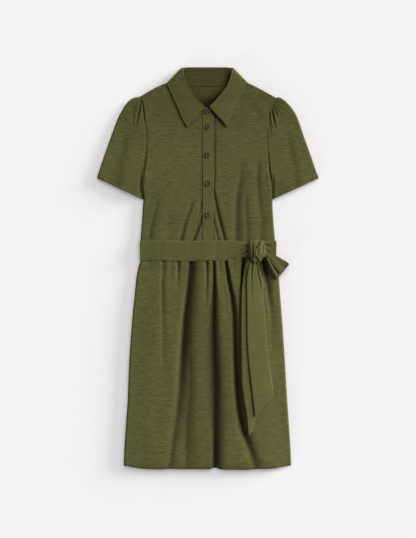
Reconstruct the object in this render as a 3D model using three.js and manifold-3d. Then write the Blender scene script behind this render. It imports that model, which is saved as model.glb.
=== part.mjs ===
// A knee-length shirt dress in slub jersey, laid flat on its back with the belt tied.
// Millimetres. X runs to the wearer's left, Y up the dress to the collar, Z up from the
// surface it lies on. Every piece of cloth is a thin wall; what lies on a panel is made
// from that panel's own height, moved out.
import * as THREE from "three";
import { mergeVertices } from "three/addons/utils/BufferGeometryUtils.js";
import Module from "manifold-3d";

const wasm = await Module();
wasm.setup();

// Cloth and seams
const WALL = 1.6;
const GAP = 0.3;
const LAYER = WALL + GAP;
const STEEPEST = 1.9;
const EDGE_ROUND = 20;
const PROBE = 0.5;

// Placket, buttons and belt
const PLACKET_LEFT = -13.8;
const PLACKET_RIGHT = 14.5;
const PLACKET_TOP = 403.7;
const PLACKET_STEP = 0.8;
const BUTTON_DIAMETER = 14;
const BUTTON_THICK = 2.8;
const BUTTON_DISH = 0.9;
const BUTTON_HOLE = 1.7;
const HOLE_SPACING = 3.4;
const WAIST_SEAM = 43.5;
const BELT_TOP = 69.5;
const BELT_BOTTOM = 18;
const BELT_LEFT = -168.8;
const BELT_RIGHT = 170;
const BELT_REACH = 6;
const BELT_FADE = 22;
const HEM_CORNER = -493;
const HEM_DROP = 9.2;
const NECK_RAISED_ABOVE = 438.5;
const NECK_RAISE_ENDS = 411;

// Colours of the cloth and of the buttons
const CLOTH_COLOUR = 0x565733;
const BELT_COLOUR = 0x585934;
const BUTTON_COLOUR = 0x3a2a1e;
const CLOTH_ROUGHNESS = 0.92;
const BUTTON_ROUGHNESS = 0.3;

// The shoulder line and the outer fold of each sleeve, from the collar to the cuff
const RIGHT_SHOULDER = [
  { x: -105, y: 457 },
  { x: -116.2, y: 455.2 },
  { x: -140, y: 445.5 },
  { x: -171.5, y: 426 },
  { x: -182.5, y: 424.5 },
  { x: -197.5, y: 415.2 },
  { x: -212.5, y: 396 },
  { x: -227.5, y: 368.5 },
  { x: -245, y: 321 },
  { x: -262.5, y: 271 },
  { x: -277.5, y: 226.7 },
];
const LEFT_SHOULDER = [
  { x: 102.5, y: 458 },
  { x: 115, y: 455.5 },
  { x: 137.5, y: 445.2 },
  { x: 174, y: 425 },
  { x: 182.5, y: 424 },
  { x: 194, y: 415.2 },
  { x: 212.5, y: 396 },
  { x: 227.5, y: 368.5 },
  { x: 243.5, y: 321 },
  { x: 260, y: 271 },
  { x: 277.5, y: 226.2 },
];

// The side seams, from the underarm to the hem
const SIDES = [
  { y: 172.5, right: -160.5, left: 160.5 },
  { y: 141, right: -162.5, left: 161 },
  { y: 106, right: -165, left: 163 },
  { y: 76, right: -165.2, left: 165 },
  { y: 61, right: -164, left: 165.3 },
  { y: 43.5, right: -164, left: 165.3 },
  { y: 16, right: -164, left: 165.3 },
  { y: 6, right: -172, left: 172 },
  { y: -41.5, right: -180, left: 177.5 },
  { y: -104, right: -186.5, left: 182.5 },
  { y: -179, right: -192.5, left: 188 },
  { y: -266.5, right: -197.5, left: 193.5 },
  { y: -334, right: -200, left: 197.5 },
  { y: -404, right: -205, left: 202.5 },
  { y: -454, right: -208.5, left: 205.5 },
  { y: -493, right: -210, left: 207.5 },
];

// The armhole seams, from the underarm to the tip of the shoulder
const RIGHT_ARMHOLE = [
  { x: -162, y: 196 },
  { x: -157.5, y: 247.2 },
  { x: -154, y: 278.5 },
  { x: -151, y: 316 },
  { x: -152, y: 341 },
  { x: -157.5, y: 371 },
  { x: -162.5, y: 403.5 },
  { x: -171.5, y: 426 },
];
const LEFT_ARMHOLE = [
  { x: 160.5, y: 196 },
  { x: 156, y: 236.7 },
  { x: 150.5, y: 268.5 },
  { x: 144.2, y: 313.5 },
  { x: 146.5, y: 338.5 },
  { x: 151.5, y: 368.5 },
  { x: 157.5, y: 398.5 },
  { x: 174, y: 425 },
];

// The seam where the front panels meet the collar stand, from the shoulder to the placket
const RIGHT_NECK = [
  { x: -84, y: 466.5 },
  { x: -78.5, y: 446 },
  { x: -62.5, y: 418.5 },
  { x: -37.5, y: 397.5 },
  { x: -14.2, y: 391 },
];
const LEFT_NECK = [
  { x: 82.5, y: 468 },
  { x: 76.5, y: 446 },
  { x: 61, y: 418.5 },
  { x: 37.5, y: 401 },
  { x: 15, y: 392 },
];
const BACK_NECK = [
  { x: -70, y: 459.5 },
  { x: -52.5, y: 455 },
  { x: -2.5, y: 454 },
  { x: 45, y: 455 },
  { x: 65, y: 459.5 },
];

// How far the front stands off the back, down the dress
const LOFT = [
  { y: 506, loft: 2.6 },
  { y: 421, loft: 3 },
  { y: 333.5, loft: 6.5 },
  { y: 233.5, loft: 8 },
  { y: 133.5, loft: 7.5 },
  { y: 76, loft: 5.4 },
  { y: 11, loft: 5.4 },
  { y: -29, loft: 8 },
  { y: -129, loft: 9.5 },
  { y: -404, loft: 9.5 },
  { y: -504, loft: 8.5 },
];

// Folds: where each trough starts, bends and ends, how wide it is, and what share of the
// loft it takes away at those three places
const SKIRT_FOLDS = [
  {
    name: "side_soft",
    start: [-110, 31],
    bend: [-117.5, -79],
    end: [-140, -229],
    wide: 9,
    deep: [0.4, 0.3, 0],
  },
  {
    name: "short_outer",
    start: [-85, 31],
    bend: [-86.5, 6],
    end: [-88.5, -34],
    wide: 4.4,
    deep: [0.6, 0.4, 0],
  },
  {
    name: "short_middle",
    start: [-70, 31],
    bend: [-71, 6],
    end: [-72.5, -29],
    wide: 4.2,
    deep: [0.6, 0.4, 0],
  },
  {
    name: "short_inner",
    start: [-56, 31],
    bend: [-57, 6],
    end: [-59, -34],
    wide: 4.2,
    deep: [0.55, 0.4, 0],
  },
  {
    name: "right_long",
    start: [-42.5, 31],
    bend: [-60, -204],
    end: [-95, -494],
    wide: 7,
    deep: [0.9, 0.8, 0.35],
  },
  {
    name: "near_centre",
    start: [1, 31],
    bend: [0, -19],
    end: [-2.5, -89],
    wide: 4.6,
    deep: [0.65, 0.4, 0],
  },
  {
    name: "centre_long",
    start: [17.5, 31],
    bend: [15.5, -166.5],
    end: [21, -504],
    wide: 6.4,
    deep: [0.92, 0.9, 0.85],
  },
  {
    name: "left_long",
    start: [47.5, 31],
    bend: [71, -204],
    end: [120, -494],
    wide: 7,
    deep: [0.9, 0.75, 0.4],
  },
  {
    name: "under_tails",
    start: [97.5, 26],
    bend: [105, -54],
    end: [110, -154],
    wide: 6,
    deep: [0.7, 0.4, 0],
  },
  {
    name: "left_side",
    start: [147.5, 26],
    bend: [155, -79],
    end: [155, -219],
    wide: 8,
    deep: [0.75, 0.5, 0],
  },
  {
    name: "hem_wave",
    start: [-40, -329],
    bend: [-45, -404],
    end: [-52.5, -499],
    wide: 16,
    deep: [0, 0.2, 0.3],
  },
];
const BODICE_FOLDS = [
  {
    name: "placket_left",
    start: [16, 196],
    bend: [26.5, 156],
    end: [41.5, 56],
    wide: 5,
    deep: [0.2, 0.55, 0.75],
  },
  {
    name: "placket_right",
    start: [-15, 126],
    bend: [-21, 101],
    end: [-31.5, 56],
    wide: 5,
    deep: [0.2, 0.5, 0.6],
  },
  {
    name: "bust_right",
    start: [-53.5, 151],
    bend: [-57.5, 106],
    end: [-62.5, 56],
    wide: 7,
    deep: [0, 0.25, 0.35],
  },
  {
    name: "bust_left",
    start: [77.5, 231],
    bend: [78.5, 141],
    end: [77.5, 56],
    wide: 9,
    deep: [0, 0.3, 0.35],
  },
  {
    name: "side_left",
    start: [136.5, 231],
    bend: [137.5, 141],
    end: [137.5, 56],
    wide: 9,
    deep: [0, 0.25, 0.3],
  },
  {
    name: "side_right",
    start: [-137.5, 181],
    bend: [-137.5, 121],
    end: [-137.5, 56],
    wide: 10,
    deep: [0, 0.2, 0.25],
  },
];
const SLEEVE_FOLDS = [
  {
    name: "right_outer",
    start: [-168.5, 417],
    bend: [-176.5, 396],
    end: [-183.5, 356],
    wide: 4.2,
    deep: [0.8, 0.6, 0],
  },
  {
    name: "right_inner",
    start: [-161.5, 411],
    bend: [-162, 391],
    end: [-160, 346],
    wide: 4,
    deep: [0.8, 0.55, 0],
  },
  {
    name: "right_under",
    start: [-166, 226],
    bend: [-165, 201],
    end: [-162.5, 178.5],
    wide: 5,
    deep: [0, 0.5, 0.5],
  },
  {
    name: "left_top",
    start: [168.5, 415],
    bend: [177.5, 408.5],
    end: [190, 396],
    wide: 3.6,
    deep: [0.7, 0.5, 0],
  },
  {
    name: "left_upper",
    start: [163.5, 407],
    bend: [172.5, 396],
    end: [183.5, 378.5],
    wide: 3.6,
    deep: [0.75, 0.5, 0],
  },
  {
    name: "left_middle",
    start: [159.5, 398.5],
    bend: [166, 376],
    end: [175, 341],
    wide: 4.2,
    deep: [0.85, 0.7, 0],
  },
  {
    name: "left_lower",
    start: [156, 386],
    bend: [157.5, 346],
    end: [172.5, 293.5],
    wide: 4.4,
    deep: [0.8, 0.6, 0],
  },
];
const FOLDS = [...SKIRT_FOLDS, ...BODICE_FOLDS, ...SLEEVE_FOLDS];
const RIDGE = 0.25;
const RIDGE_REACH = 3;

// Table and path helpers
const mix = (a, b, t) => a + (b - a) * t;
const clamp = (v, low, high) => Math.min(high, Math.max(low, v));
const ease = (t) => t * t * (3 - 2 * t);

function lookUp(rows, key, column, at) {
  const down = rows[0][key] > rows[rows.length - 1][key] ? -1 : 1;
  const i = clamp(
    rows.findIndex((row) => down * row[key] >= down * at),
    1,
    rows.length - 1,
  );
  const late = down * at > down * rows[rows.length - 1][key];
  const k = late ? rows.length - 1 : i;
  const [a, b] = [rows[k - 1], rows[k]];
  return mix(a[column], b[column], clamp((at - a[key]) / (b[key] - a[key]), 0, 1));
}

function alongPath(path, share) {
  const steps = path.slice(1).map((p, i) => Math.hypot(p.x - path[i].x, p.y - path[i].y));
  const whole = steps.reduce((sum, step) => sum + step, 0);
  let left = clamp(share, 0, 1) * whole;
  for (let i = 0; i < steps.length; i += 1) {
    if (left <= steps[i] || i === steps.length - 1) {
      const t = clamp(left / steps[i], 0, 1);
      return { x: mix(path[i].x, path[i + 1].x, t), y: mix(path[i].y, path[i + 1].y, t) };
    }
    left -= steps[i];
  }
  return path[0];
}

function toSegment(x, y, ax, ay, bx, by) {
  const [dx, dy] = [bx - ax, by - ay];
  const t = clamp(((x - ax) * dx + (y - ay) * dy) / (dx * dx + dy * dy), 0, 1);
  return { t, far: Math.hypot(x - ax - dx * t, y - ay - dy * t) };
}

function toPath(x, y, path) {
  return Math.min(
    ...path.slice(1).map((p, i) => toSegment(x, y, path[i].x, path[i].y, p.x, p.y).far),
  );
}

const sidePath = (side) => SIDES.map((row) => ({ x: row[side], y: row.y }));
const CLOSED_EDGES = [RIGHT_SHOULDER, LEFT_SHOULDER, sidePath("right"), sidePath("left")];

// The height of the cloth over the surface below it
function raised(y) {
  const waist = clamp(
    Math.min(BELT_TOP + BELT_REACH + BELT_FADE - y, y - BELT_BOTTOM + BELT_REACH + BELT_FADE) / BELT_FADE,
    0,
    1,
  );
  const neck = clamp((y - NECK_RAISE_ENDS) / (NECK_RAISED_ABOVE - NECK_RAISE_ENDS), 0, 1);
  return LAYER * ease(Math.max(waist, neck));
}

function roundOver(x, y) {
  const low = y < SIDES[0].y;
  if (low && (x < lookUp(SIDES, "y", "right", y) || x > lookUp(SIDES, "y", "left", y))) return 0;
  const near = Math.min(...CLOSED_EDGES.map((path) => toPath(x, y, path)));
  const share = clamp(near / EDGE_ROUND, 0, 1);
  return Math.sqrt(1 - (1 - share) * (1 - share));
}

function foldShare(x, y) {
  let share = 0;
  for (const { start, bend, end, wide, deep } of FOLDS) {
    const upper = toSegment(x, y, ...start, ...bend);
    const lower = toSegment(x, y, ...bend, ...end);
    const near = upper.far < lower.far ? upper : lower;
    const from = near === upper ? 0 : 1;
    const depth = mix(deep[from], deep[from + 1], near.t);
    const across = near.far / wide;
    const trough = (1 + RIDGE) * Math.exp(-across * across);
    const ridge = RIDGE * Math.exp(-((across / RIDGE_REACH) ** 2));
    share += depth * (trough - ridge);
  }
  return clamp(share, -0.2, 0.94);
}

const loftAt = (x, y) => lookUp(LOFT, "y", "loft", y) * roundOver(x, y);
const smoothLow = (x, y) => raised(y) + LAYER + loftAt(x, y);
const frontLow = (x, y) => raised(y) + LAYER + loftAt(x, y) * (1 - foldShare(x, y));

// Upright thickness of a wall that keeps its thickness square to a slope
function uprightWall(low, x, y) {
  const slope = Math.hypot(
    (low(x + PROBE, y) - low(x - PROBE, y)) / (2 * PROBE),
    (low(x, y + PROBE) - low(x, y - PROBE)) / (2 * PROBE),
  );
  return WALL * Math.min(Math.sqrt(1 + slope * slope), STEEPEST);
}
const frontTop = (x, y) => Math.max(frontLow(x, y) + uprightWall(frontLow, x, y), smoothLow(x, y) + WALL);

// Mesh helpers
function meshFrom(name, points, faces, material) {
  const geometry = new THREE.BufferGeometry();
  geometry.setAttribute("position", new THREE.Float32BufferAttribute(points.flat(), 3));
  geometry.setIndex(faces.flat());
  geometry.computeVertexNormals();
  const mesh = new THREE.Mesh(geometry, material);
  mesh.name = name;
  return mesh;
}

// Two matching grids of points, over and under, joined round their edge
function wallBetween(name, over, under, material, { ring = false } = {}) {
  const [rows, columns] = [over.length, over[0].length];
  const points = [...over.flat(), ...under.flat()];
  const at = (side, i, j) => side * rows * columns + (i % rows) * columns + j;
  const faces = [];
  const quad = (a, b, c, d) => faces.push([a, b, c], [a, c, d]);
  for (let i = 0; i < (ring ? rows : rows - 1); i += 1) {
    for (let j = 0; j < columns - 1; j += 1) {
      quad(at(0, i, j), at(0, i + 1, j), at(0, i + 1, j + 1), at(0, i, j + 1));
      quad(at(1, i, j), at(1, i, j + 1), at(1, i + 1, j + 1), at(1, i + 1, j));
    }
    quad(at(0, i, 0), at(1, i, 0), at(1, i + 1, 0), at(0, i + 1, 0));
    const last = columns - 1;
    quad(at(0, i, last), at(0, i + 1, last), at(1, i + 1, last), at(1, i, last));
  }
  for (let j = 0; j < columns - 1 && !ring; j += 1) {
    quad(at(0, 0, j), at(0, 0, j + 1), at(1, 0, j + 1), at(1, 0, j));
    const last = rows - 1;
    quad(at(0, last, j), at(1, last, j), at(1, last, j + 1), at(0, last, j + 1));
  }
  const outwards = volumeOf(points, faces) > 0 ? faces : faces.map(([a, b, c]) => [a, c, b]);
  return meshFrom(name, points, outwards, material);
}

function volumeOf(points, faces) {
  const [a, b, c] = [new THREE.Vector3(), new THREE.Vector3(), new THREE.Vector3()];
  return faces.reduce((sum, [i, j, k]) => {
    a.fromArray(points[i]);
    b.fromArray(points[j]);
    c.fromArray(points[k]);
    return sum + a.dot(b.cross(c));
  }, 0);
}

// A wall over a grid of plan points, standing on the height that low gives
function panel(name, plan, low, material) {
  const under = plan.map((row) => row.map(({ x, y }) => [x, y, low(x, y)]));
  const over = under.map((row) => row.map(([x, y, z]) => [x, y, z + uprightWall(low, x, y)]));
  return wallBetween(name, over, under, material);
}

// A wall of even thickness about a grid of middle points
function strip(name, grid, material, { ring = false, thick = WALL } = {}) {
  const [rows, columns] = [grid.length, grid[0].length];
  const vector = (i, j) => new THREE.Vector3(...grid[(i + rows) % rows][j]);
  const over = [];
  const under = [];
  for (let i = 0; i < rows; i += 1) {
    over.push([]);
    under.push([]);
    for (let j = 0; j < columns; j += 1) {
      const before = ring ? i - 1 : Math.max(i - 1, 0);
      const after = ring ? i + 1 : Math.min(i + 1, rows - 1);
      const alongRows = vector(after, j).sub(vector(before, j));
      const acrossRows = vector(i, Math.min(j + 1, columns - 1)).sub(vector(i, Math.max(j - 1, 0)));
      const normal = alongRows.cross(acrossRows).normalize().multiplyScalar(thick / 2);
      over[i].push(vector(i, j).add(normal).toArray());
      under[i].push(vector(i, j).sub(normal).toArray());
    }
  }
  return wallBetween(name, over, under, material, { ring });
}

// The share of its length that each corner of a path lies at, with each part cut in pieces
function cornerShares(path, pieces = 1) {
  const lengths = [0];
  path.slice(1).forEach((p, i) => lengths.push(lengths[i] + Math.hypot(p.x - path[i].x, p.y - path[i].y)));
  const cut = lengths.slice(1).flatMap((end, i) =>
    Array.from({ length: pieces }, (_, k) => mix(lengths[i], end, k / pieces)),
  );
  return [...cut, lengths[lengths.length - 1]].map((length) => length / lengths[lengths.length - 1]);
}

// A grid of plan points inside four edges. Rows run from bottom to top and hit every corner
// of start and end; columns sit at the given shares of bottom and top.
function patch({ bottom, top, start, end }, columnShares, topShares = columnShares) {
  const rowShares = cornerShares(start);
  return rowShares.map((t, i) =>
    columnShares.map((s, j) => {
      const [b, u] = [alongPath(bottom, s), alongPath(top, topShares[j])];
      const [l, r] = [start[i], end[i]];
      const value = (key) => {
        const corners = mix(
          mix(start[0][key], end[0][key], s),
          mix(start[start.length - 1][key], end[end.length - 1][key], s),
          t,
        );
        return mix(b[key], u[key], t) + mix(l[key], r[key], s) - corners;
      };
      return { x: value("x"), y: value("y") };
    }),
  );
}

const SHOULDER_ROWS = 4;
const SEAM_CLEAR = 0.35;
const shares = (count) => Array.from({ length: count }, (_, i) => i / (count - 1));
const shifted = (path, dx) => path.map((p) => ({ x: p.x + dx, y: p.y }));

// Materials
const surface = (color, roughness) => new THREE.MeshStandardMaterial({ color, roughness, metalness: 0 });
const cloth = surface(CLOTH_COLOUR, CLOTH_ROUGHNESS);
const beltCloth = surface(BELT_COLOUR, CLOTH_ROUGHNESS);
const horn = surface(BUTTON_COLOUR, BUTTON_ROUGHNESS);

// Skirt: columns follow the long folds and crowd towards them
const SKIRT_ROWS = [43.2, 31, 21, 11, -1.5, -19, -44, -74, -114, -164, -219, -279, -339, -399, -454, -493];
const SKIRT_GUIDES = [
  { waist: -110, middle: -127.5, hem: -155, columns: 4 },
  { waist: -42.5, middle: -60, hem: -95, columns: 9 },
  { waist: 17.5, middle: 15.5, hem: 21, columns: 8 },
  { waist: 47.5, middle: 71, hem: 120, columns: 6 },
  { waist: 150, middle: 154, hem: 170, columns: 8 },
];
const LAST_COLUMNS = 4;
const crowd = (share) => 0.5 - 0.5 * Math.cos(Math.PI * share);

function skirtRow(y) {
  const share = clamp((WAIST_SEAM - y) / (WAIST_SEAM - HEM_CORNER), 0, 1);
  const right = lookUp(SIDES, "y", "right", y);
  const left = lookUp(SIDES, "y", "left", y);
  const at = ({ waist, middle, hem }) =>
    share < 0.5 ? mix(waist, middle, share * 2) : mix(middle, hem, share * 2 - 1);
  const stops = [right, ...SKIRT_GUIDES.map(at), left];
  const counts = [...SKIRT_GUIDES.map((guide) => guide.columns), LAST_COLUMNS];
  const xs = counts.flatMap((count, i) =>
    Array.from({ length: count }, (_, k) => mix(stops[i], stops[i + 1], crowd(k / count))),
  );
  xs.push(left);
  return xs.map((x) => {
    const across = (2 * (x - right)) / (left - right) - 1;
    return { x, y: y - HEM_DROP * share ** 6 * (1 - across ** 4) };
  });
}

const skirtPlan = SKIRT_ROWS.map(skirtRow);
const frontSkirt = () => panel("front_skirt", skirtPlan, frontLow, cloth);
function backSkirt() {
  const plan = skirtPlan.map((row) => row.filter((_, i) => i % 4 === 0 || i === row.length - 1));
  return panel("back_skirt", plan, (x, y) => raised(y), cloth);
}

// Bodice: two fronts either side of the placket, and one back
const SEAM_HALF = GAP / 2;

function bodiceEdge(side, armhole) {
  const seam = SIDES.filter((row) => row.y > WAIST_SEAM).map((row) => ({ x: row[side], y: row.y }));
  const waist = { x: lookUp(SIDES, "y", side, WAIST_SEAM), y: WAIST_SEAM + SEAM_HALF };
  return [waist, ...seam.reverse(), ...armhole];
}
const rightEdge = bodiceEdge("right", RIGHT_ARMHOLE);
const leftEdge = bodiceEdge("left", LEFT_ARMHOLE);
const shoulderTo = (shoulder) => shoulder.slice(0, SHOULDER_ROWS).reverse();

function bodiceFront(name, edge, shoulder, neck, placketX) {
  const foot = { x: placketX, y: WAIST_SEAM + SEAM_HALF };
  const top = [...shoulderTo(shoulder), ...neck.slice(0, -1), { x: placketX, y: neck[neck.length - 1].y }];
  const head = top[top.length - 1];
  const end = cornerShares(edge).map((t) => ({ x: placketX, y: mix(foot.y, head.y, t) }));
  const columns = shares((top.length - 1) * 2 + 1);
  const edges = { bottom: [edge[0], foot], top, start: edge, end };
  return panel(name, patch(edges, columns, cornerShares(top, 2)), frontLow, cloth);
}

function backBodice() {
  const neck = [RIGHT_NECK[0], ...BACK_NECK, LEFT_NECK[0]];
  const top = [...shoulderTo(RIGHT_SHOULDER), ...neck, ...LEFT_SHOULDER.slice(0, SHOULDER_ROWS)];
  const edges = { bottom: [rightEdge[0], leftEdge[0]], top, start: rightEdge, end: leftEdge };
  return panel("back_bodice", patch(edges, cornerShares(top)), (x, y) => raised(y), cloth);
}

// Placket: the buttoned strip on top and the hidden strip that carries the buttons
const PLACKET_ROWS = [403.5, 391, 376, 356, 331, 301, 266, 226, 186, 146, 111, 86, 66, 44];
const placketMiddle = (PLACKET_LEFT + PLACKET_RIGHT) / 2;
const placketLow = (y) => smoothLow(placketMiddle, y) + PLACKET_STEP;

function placketStrip(name, drop) {
  const plan = PLACKET_ROWS.map((y) =>
    shares(4).map((s) => ({ x: mix(PLACKET_LEFT + GAP / 2, PLACKET_RIGHT - GAP / 2, s), y })),
  );
  return panel(name, plan, (x, y) => placketLow(y) - drop, cloth);
}

// Buttons: a raised rim round a dish with four holes
const BUTTONS = [
  { x: -1.7, y: 393.7, turn: 0.3 },
  { x: -0.2, y: 353.5, turn: 0.9 },
  { x: -0.8, y: 283.2, turn: 0.1 },
  { x: 0, y: 212.7, turn: 0.6 },
  { x: 0, y: 134, turn: 1.2 },
];

function toSolid(geometry) {
  const bare = geometry.clone();
  bare.deleteAttribute("normal");
  bare.deleteAttribute("uv");
  const merged = mergeVertices(bare, 1e-4);
  return new wasm.Manifold(
    new wasm.Mesh({
      numProp: 3,
      vertProperties: new Float32Array(merged.attributes.position.array),
      triVerts: new Uint32Array(merged.index.array),
    }),
  );
}

function button(index) {
  const { x, y, turn } = BUTTONS[index];
  const radius = BUTTON_DIAMETER / 2;
  const profile = [
    new THREE.Vector2(0, 0),
    new THREE.Vector2(radius * 0.75, 0),
    new THREE.Vector2(radius, BUTTON_THICK * 0.35),
    new THREE.Vector2(radius * 0.97, BUTTON_THICK * 0.8),
    new THREE.Vector2(radius * 0.84, BUTTON_THICK),
    new THREE.Vector2(radius * 0.68, BUTTON_THICK * 0.92),
    new THREE.Vector2(radius * 0.56, BUTTON_THICK - BUTTON_DISH),
    new THREE.Vector2(0, BUTTON_THICK - BUTTON_DISH),
  ];
  let solid = toSolid(new THREE.LatheGeometry(profile, 20));
  for (let k = 0; k < 4; k += 1) {
    const angle = turn + (Math.PI / 2) * (k + 0.5);
    const hole = new THREE.CylinderGeometry(BUTTON_HOLE / 2, BUTTON_HOLE / 2, BUTTON_THICK * 3, 8);
    const reach = HOLE_SPACING / Math.SQRT2;
    hole.translate(reach * Math.cos(angle), BUTTON_THICK / 2, reach * Math.sin(angle));
    solid = solid.subtract(toSolid(hole));
  }
  const { vertProperties, triVerts } = solid.getMesh();
  const geometry = new THREE.BufferGeometry();
  geometry.setAttribute("position", new THREE.BufferAttribute(vertProperties, 3));
  geometry.setIndex(new THREE.BufferAttribute(triVerts, 1));
  geometry.rotateX(Math.PI / 2);
  geometry.translate(x, y, placketLow(y) + WALL + GAP);
  geometry.computeVertexNormals();
  const mesh = new THREE.Mesh(geometry, horn);
  mesh.name = `button_${index + 1}`;
  return mesh;
}

// Sleeves: flattened rings from the armhole out to the cuff
const SHOULDER_TIP = 4;
const SLEEVE_RINGS = 9;
const CUFFS = {
  right: [{ x: -277.5, y: 226.7 }, { x: -161.7, y: 172.7 }],
  left: [{ x: 277.5, y: 226.2 }, { x: 161.2, y: 172.7 }],
};

function sleeve(name, side, armhole, shoulder, outwards) {
  const seam = shifted(armhole, outwards * SEAM_CLEAR).reverse();
  const cuff = CUFFS[side];
  const outerPath = [seam[0], ...shoulder.slice(SHOULDER_TIP)];
  const start = shares(SLEEVE_RINGS).map((t) => alongPath(outerPath, t));
  const end = shares(SLEEVE_RINGS).map((t) => alongPath([seam[seam.length - 1], cuff[1]], t));
  const across = cornerShares(seam, 2);
  const plan = patch({ bottom: seam, top: cuff, start, end }, across);
  const tucked = plan.map((row) => {
    const [a, b] = [row[0], row[row.length - 1]];
    const share = 1 - (2 * WALL) / Math.hypot(b.x - a.x, b.y - a.y);
    return row.map(({ x, y }) => ({ x: mix((a.x + b.x) / 2, x, share), y: mix((a.y + b.y) / 2, y, share) }));
  });
  const column = (grid, s, height) => grid.map((row) => [row[s].x, row[s].y, height(row[s].x, row[s].y)]);
  const order = [...across.keys()];
  const outside = [
    ...order.map((s) => column(plan, s, (x, y) => frontLow(x, y) + WALL)),
    ...order.reverse().map((s) => column(plan, s, (x, y) => raised(y))),
  ];
  const inside = [
    ...order.reverse().map((s) => column(tucked, s, frontLow)),
    ...order.reverse().map((s) => column(tucked, s, (x, y) => raised(y) + WALL)),
  ];
  return wallBetween(name, outside, inside, cloth, { ring: true });
}

// Collar: the fall lies under the back, turns over at both shoulders and ends in two points.
// turn runs from 0, on the front, to 1, beneath the back; lift raises a leaf off the front.
const FALL = [
  { roll: [-8.5, 402.5], edge: [-52.5, 351.8], turn: 0, lift: 1.4 },
  { roll: [-21.7, 413], edge: [-65, 375], turn: 0, lift: 1.2 },
  { roll: [-41.2, 434.5], edge: [-79, 407.5], turn: 0, lift: 1 },
  { roll: [-52.7, 453.5], edge: [-91.5, 435.5], turn: 0, lift: 0.8 },
  { roll: [-61, 476], edge: [-99.5, 452.5], turn: 0, lift: 0.8 },
  { roll: [-64.2, 491], edge: [-103.5, 459], turn: 0.12, lift: 0.8 },
  { roll: [-66, 499.5], edge: [-104.5, 462.5], turn: 0.5, lift: 0.8 },
  { roll: [-62.5, 501.5], edge: [-101.5, 461.5], turn: 0.94, lift: 0.8 },
  { roll: [-52.5, 502], edge: [-86.2, 455], turn: 1, lift: 0 },
  { roll: [-27.5, 502.2], edge: [-45, 453.5], turn: 1, lift: 0 },
  { roll: [-1.2, 502.2], edge: [-1.2, 453], turn: 1, lift: 0 },
  { roll: [25, 502.2], edge: [42.5, 453.5], turn: 1, lift: 0 },
  { roll: [50, 502], edge: [82.5, 455], turn: 1, lift: 0 },
  { roll: [59, 501.5], edge: [96.5, 463], turn: 0.94, lift: 0.8 },
  { roll: [62.5, 499.5], edge: [100, 464], turn: 0.5, lift: 0.8 },
  { roll: [61, 491], edge: [99, 460.5], turn: 0.12, lift: 0.8 },
  { roll: [57.5, 476], edge: [92, 451], turn: 0, lift: 1 },
  { roll: [47.5, 453.5], edge: [83, 433.5], turn: 0, lift: 1.2 },
  { roll: [33.8, 434.5], edge: [71.5, 409.5], turn: 0, lift: 1.6 },
  { roll: [18, 416], edge: [59, 381], turn: 0, lift: 2 },
  { roll: [4, 403.5], edge: [47.3, 355.5], turn: 0, lift: 2.4 },
];
const STAND = [
  { roll: [-15, 409], edge: [-15.5, 392], turn: 0 },
  { roll: [-27.5, 419], edge: [-37.5, 398.5], turn: 0 },
  { roll: [-40.8, 435], edge: [-61.5, 419.5], turn: 0 },
  { roll: [-52.3, 453.5], edge: [-77.5, 446.5], turn: 0 },
  { roll: [-60, 475], edge: [-82.5, 467], turn: 0 },
  { roll: [-61.5, 487.5], edge: [-83.5, 471], turn: 0.12 },
  { roll: [-62.5, 494], edge: [-83.5, 473], turn: 0.5 },
  { roll: [-59, 498.5], edge: [-79, 468.5], turn: 0.88 },
  { roll: [-50, 501.5], edge: [-70, 461], turn: 1 },
  { roll: [-40, 502], edge: [-52.5, 455.7], turn: 1 },
  { roll: [-2.5, 502], edge: [-2.5, 454.5], turn: 1 },
  { roll: [37.5, 502], edge: [45, 455.7], turn: 1 },
  { roll: [48.5, 501.5], edge: [65, 461], turn: 1 },
  { roll: [56, 498.5], edge: [78.5, 469.5], turn: 0.88 },
  { roll: [59.5, 494], edge: [82, 473.5] , turn: 0.5 },
  { roll: [58, 487.5], edge: [82, 471.5], turn: 0.12 },
  { roll: [56.5, 475], edge: [80.5, 467.5], turn: 0 },
  { roll: [47, 453.5], edge: [75.5, 446.5], turn: 0 },
  { roll: [33.3, 435], edge: [60, 419.5], turn: 0 },
  { roll: [22.5, 422.5], edge: [37.5, 402], turn: 0 },
  { roll: [15.8, 413.5], edge: [15.8, 393], turn: 0 },
];

function turnedStrip(name, table, frontHeight, backHeight) {
  const grid = table.map(({ roll, edge, turn, lift = 0 }) =>
    shares(5).map((s) => {
      const [x, y] = [mix(roll[0], edge[0], s), mix(roll[1], edge[1], s)];
      const under = (1 - Math.cos(Math.PI * turn)) / 2;
      return [x, y, mix(frontHeight(x, y) + lift, backHeight, under)];
    }),
  );
  return strip(name, grid, cloth);
}
const collarFall = () =>
  turnedStrip("collar_fall", FALL, (x, y) => Math.max(smoothLow(x, y), 0) + LAYER + WALL / 2 + GAP, WALL / 2);
const collarStand = () =>
  turnedStrip("collar_stand", STAND, (x, y) => smoothLow(x, y) + WALL / 2, LAYER + WALL / 2);

// Belt: one band round the waist, drawn in where it runs into the knot
const BELT_STATIONS = [
  { x: -161.5, top: 69.5, bottom: 18.5 },
  { x: -145, top: 69.5, bottom: 18.5 },
  { x: -82.5, top: 69, bottom: 17.7 },
  { x: -7.5, top: 69.5, bottom: 17.7 },
  { x: 42.5, top: 69.5, bottom: 19.5 },
  { x: 75, top: 69, bottom: 23 },
  { x: 97.5, top: 66, bottom: 28.5 },
  { x: 122.5, top: 65, bottom: 30 },
  { x: 147.5, top: 68.5, bottom: 27.5 },
  { x: 164, top: 69, bottom: 21 },
];
const BELT_OVER = PLACKET_STEP + GAP + WALL / 2;
const BELT_TURN = 3.1;

// The highest point of the front under the belt, across its width
function waistTop(x) {
  return Math.max(...shares(9).map((s) => frontTop(x, mix(BELT_BOTTOM, BELT_TOP, s))));
}

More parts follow.
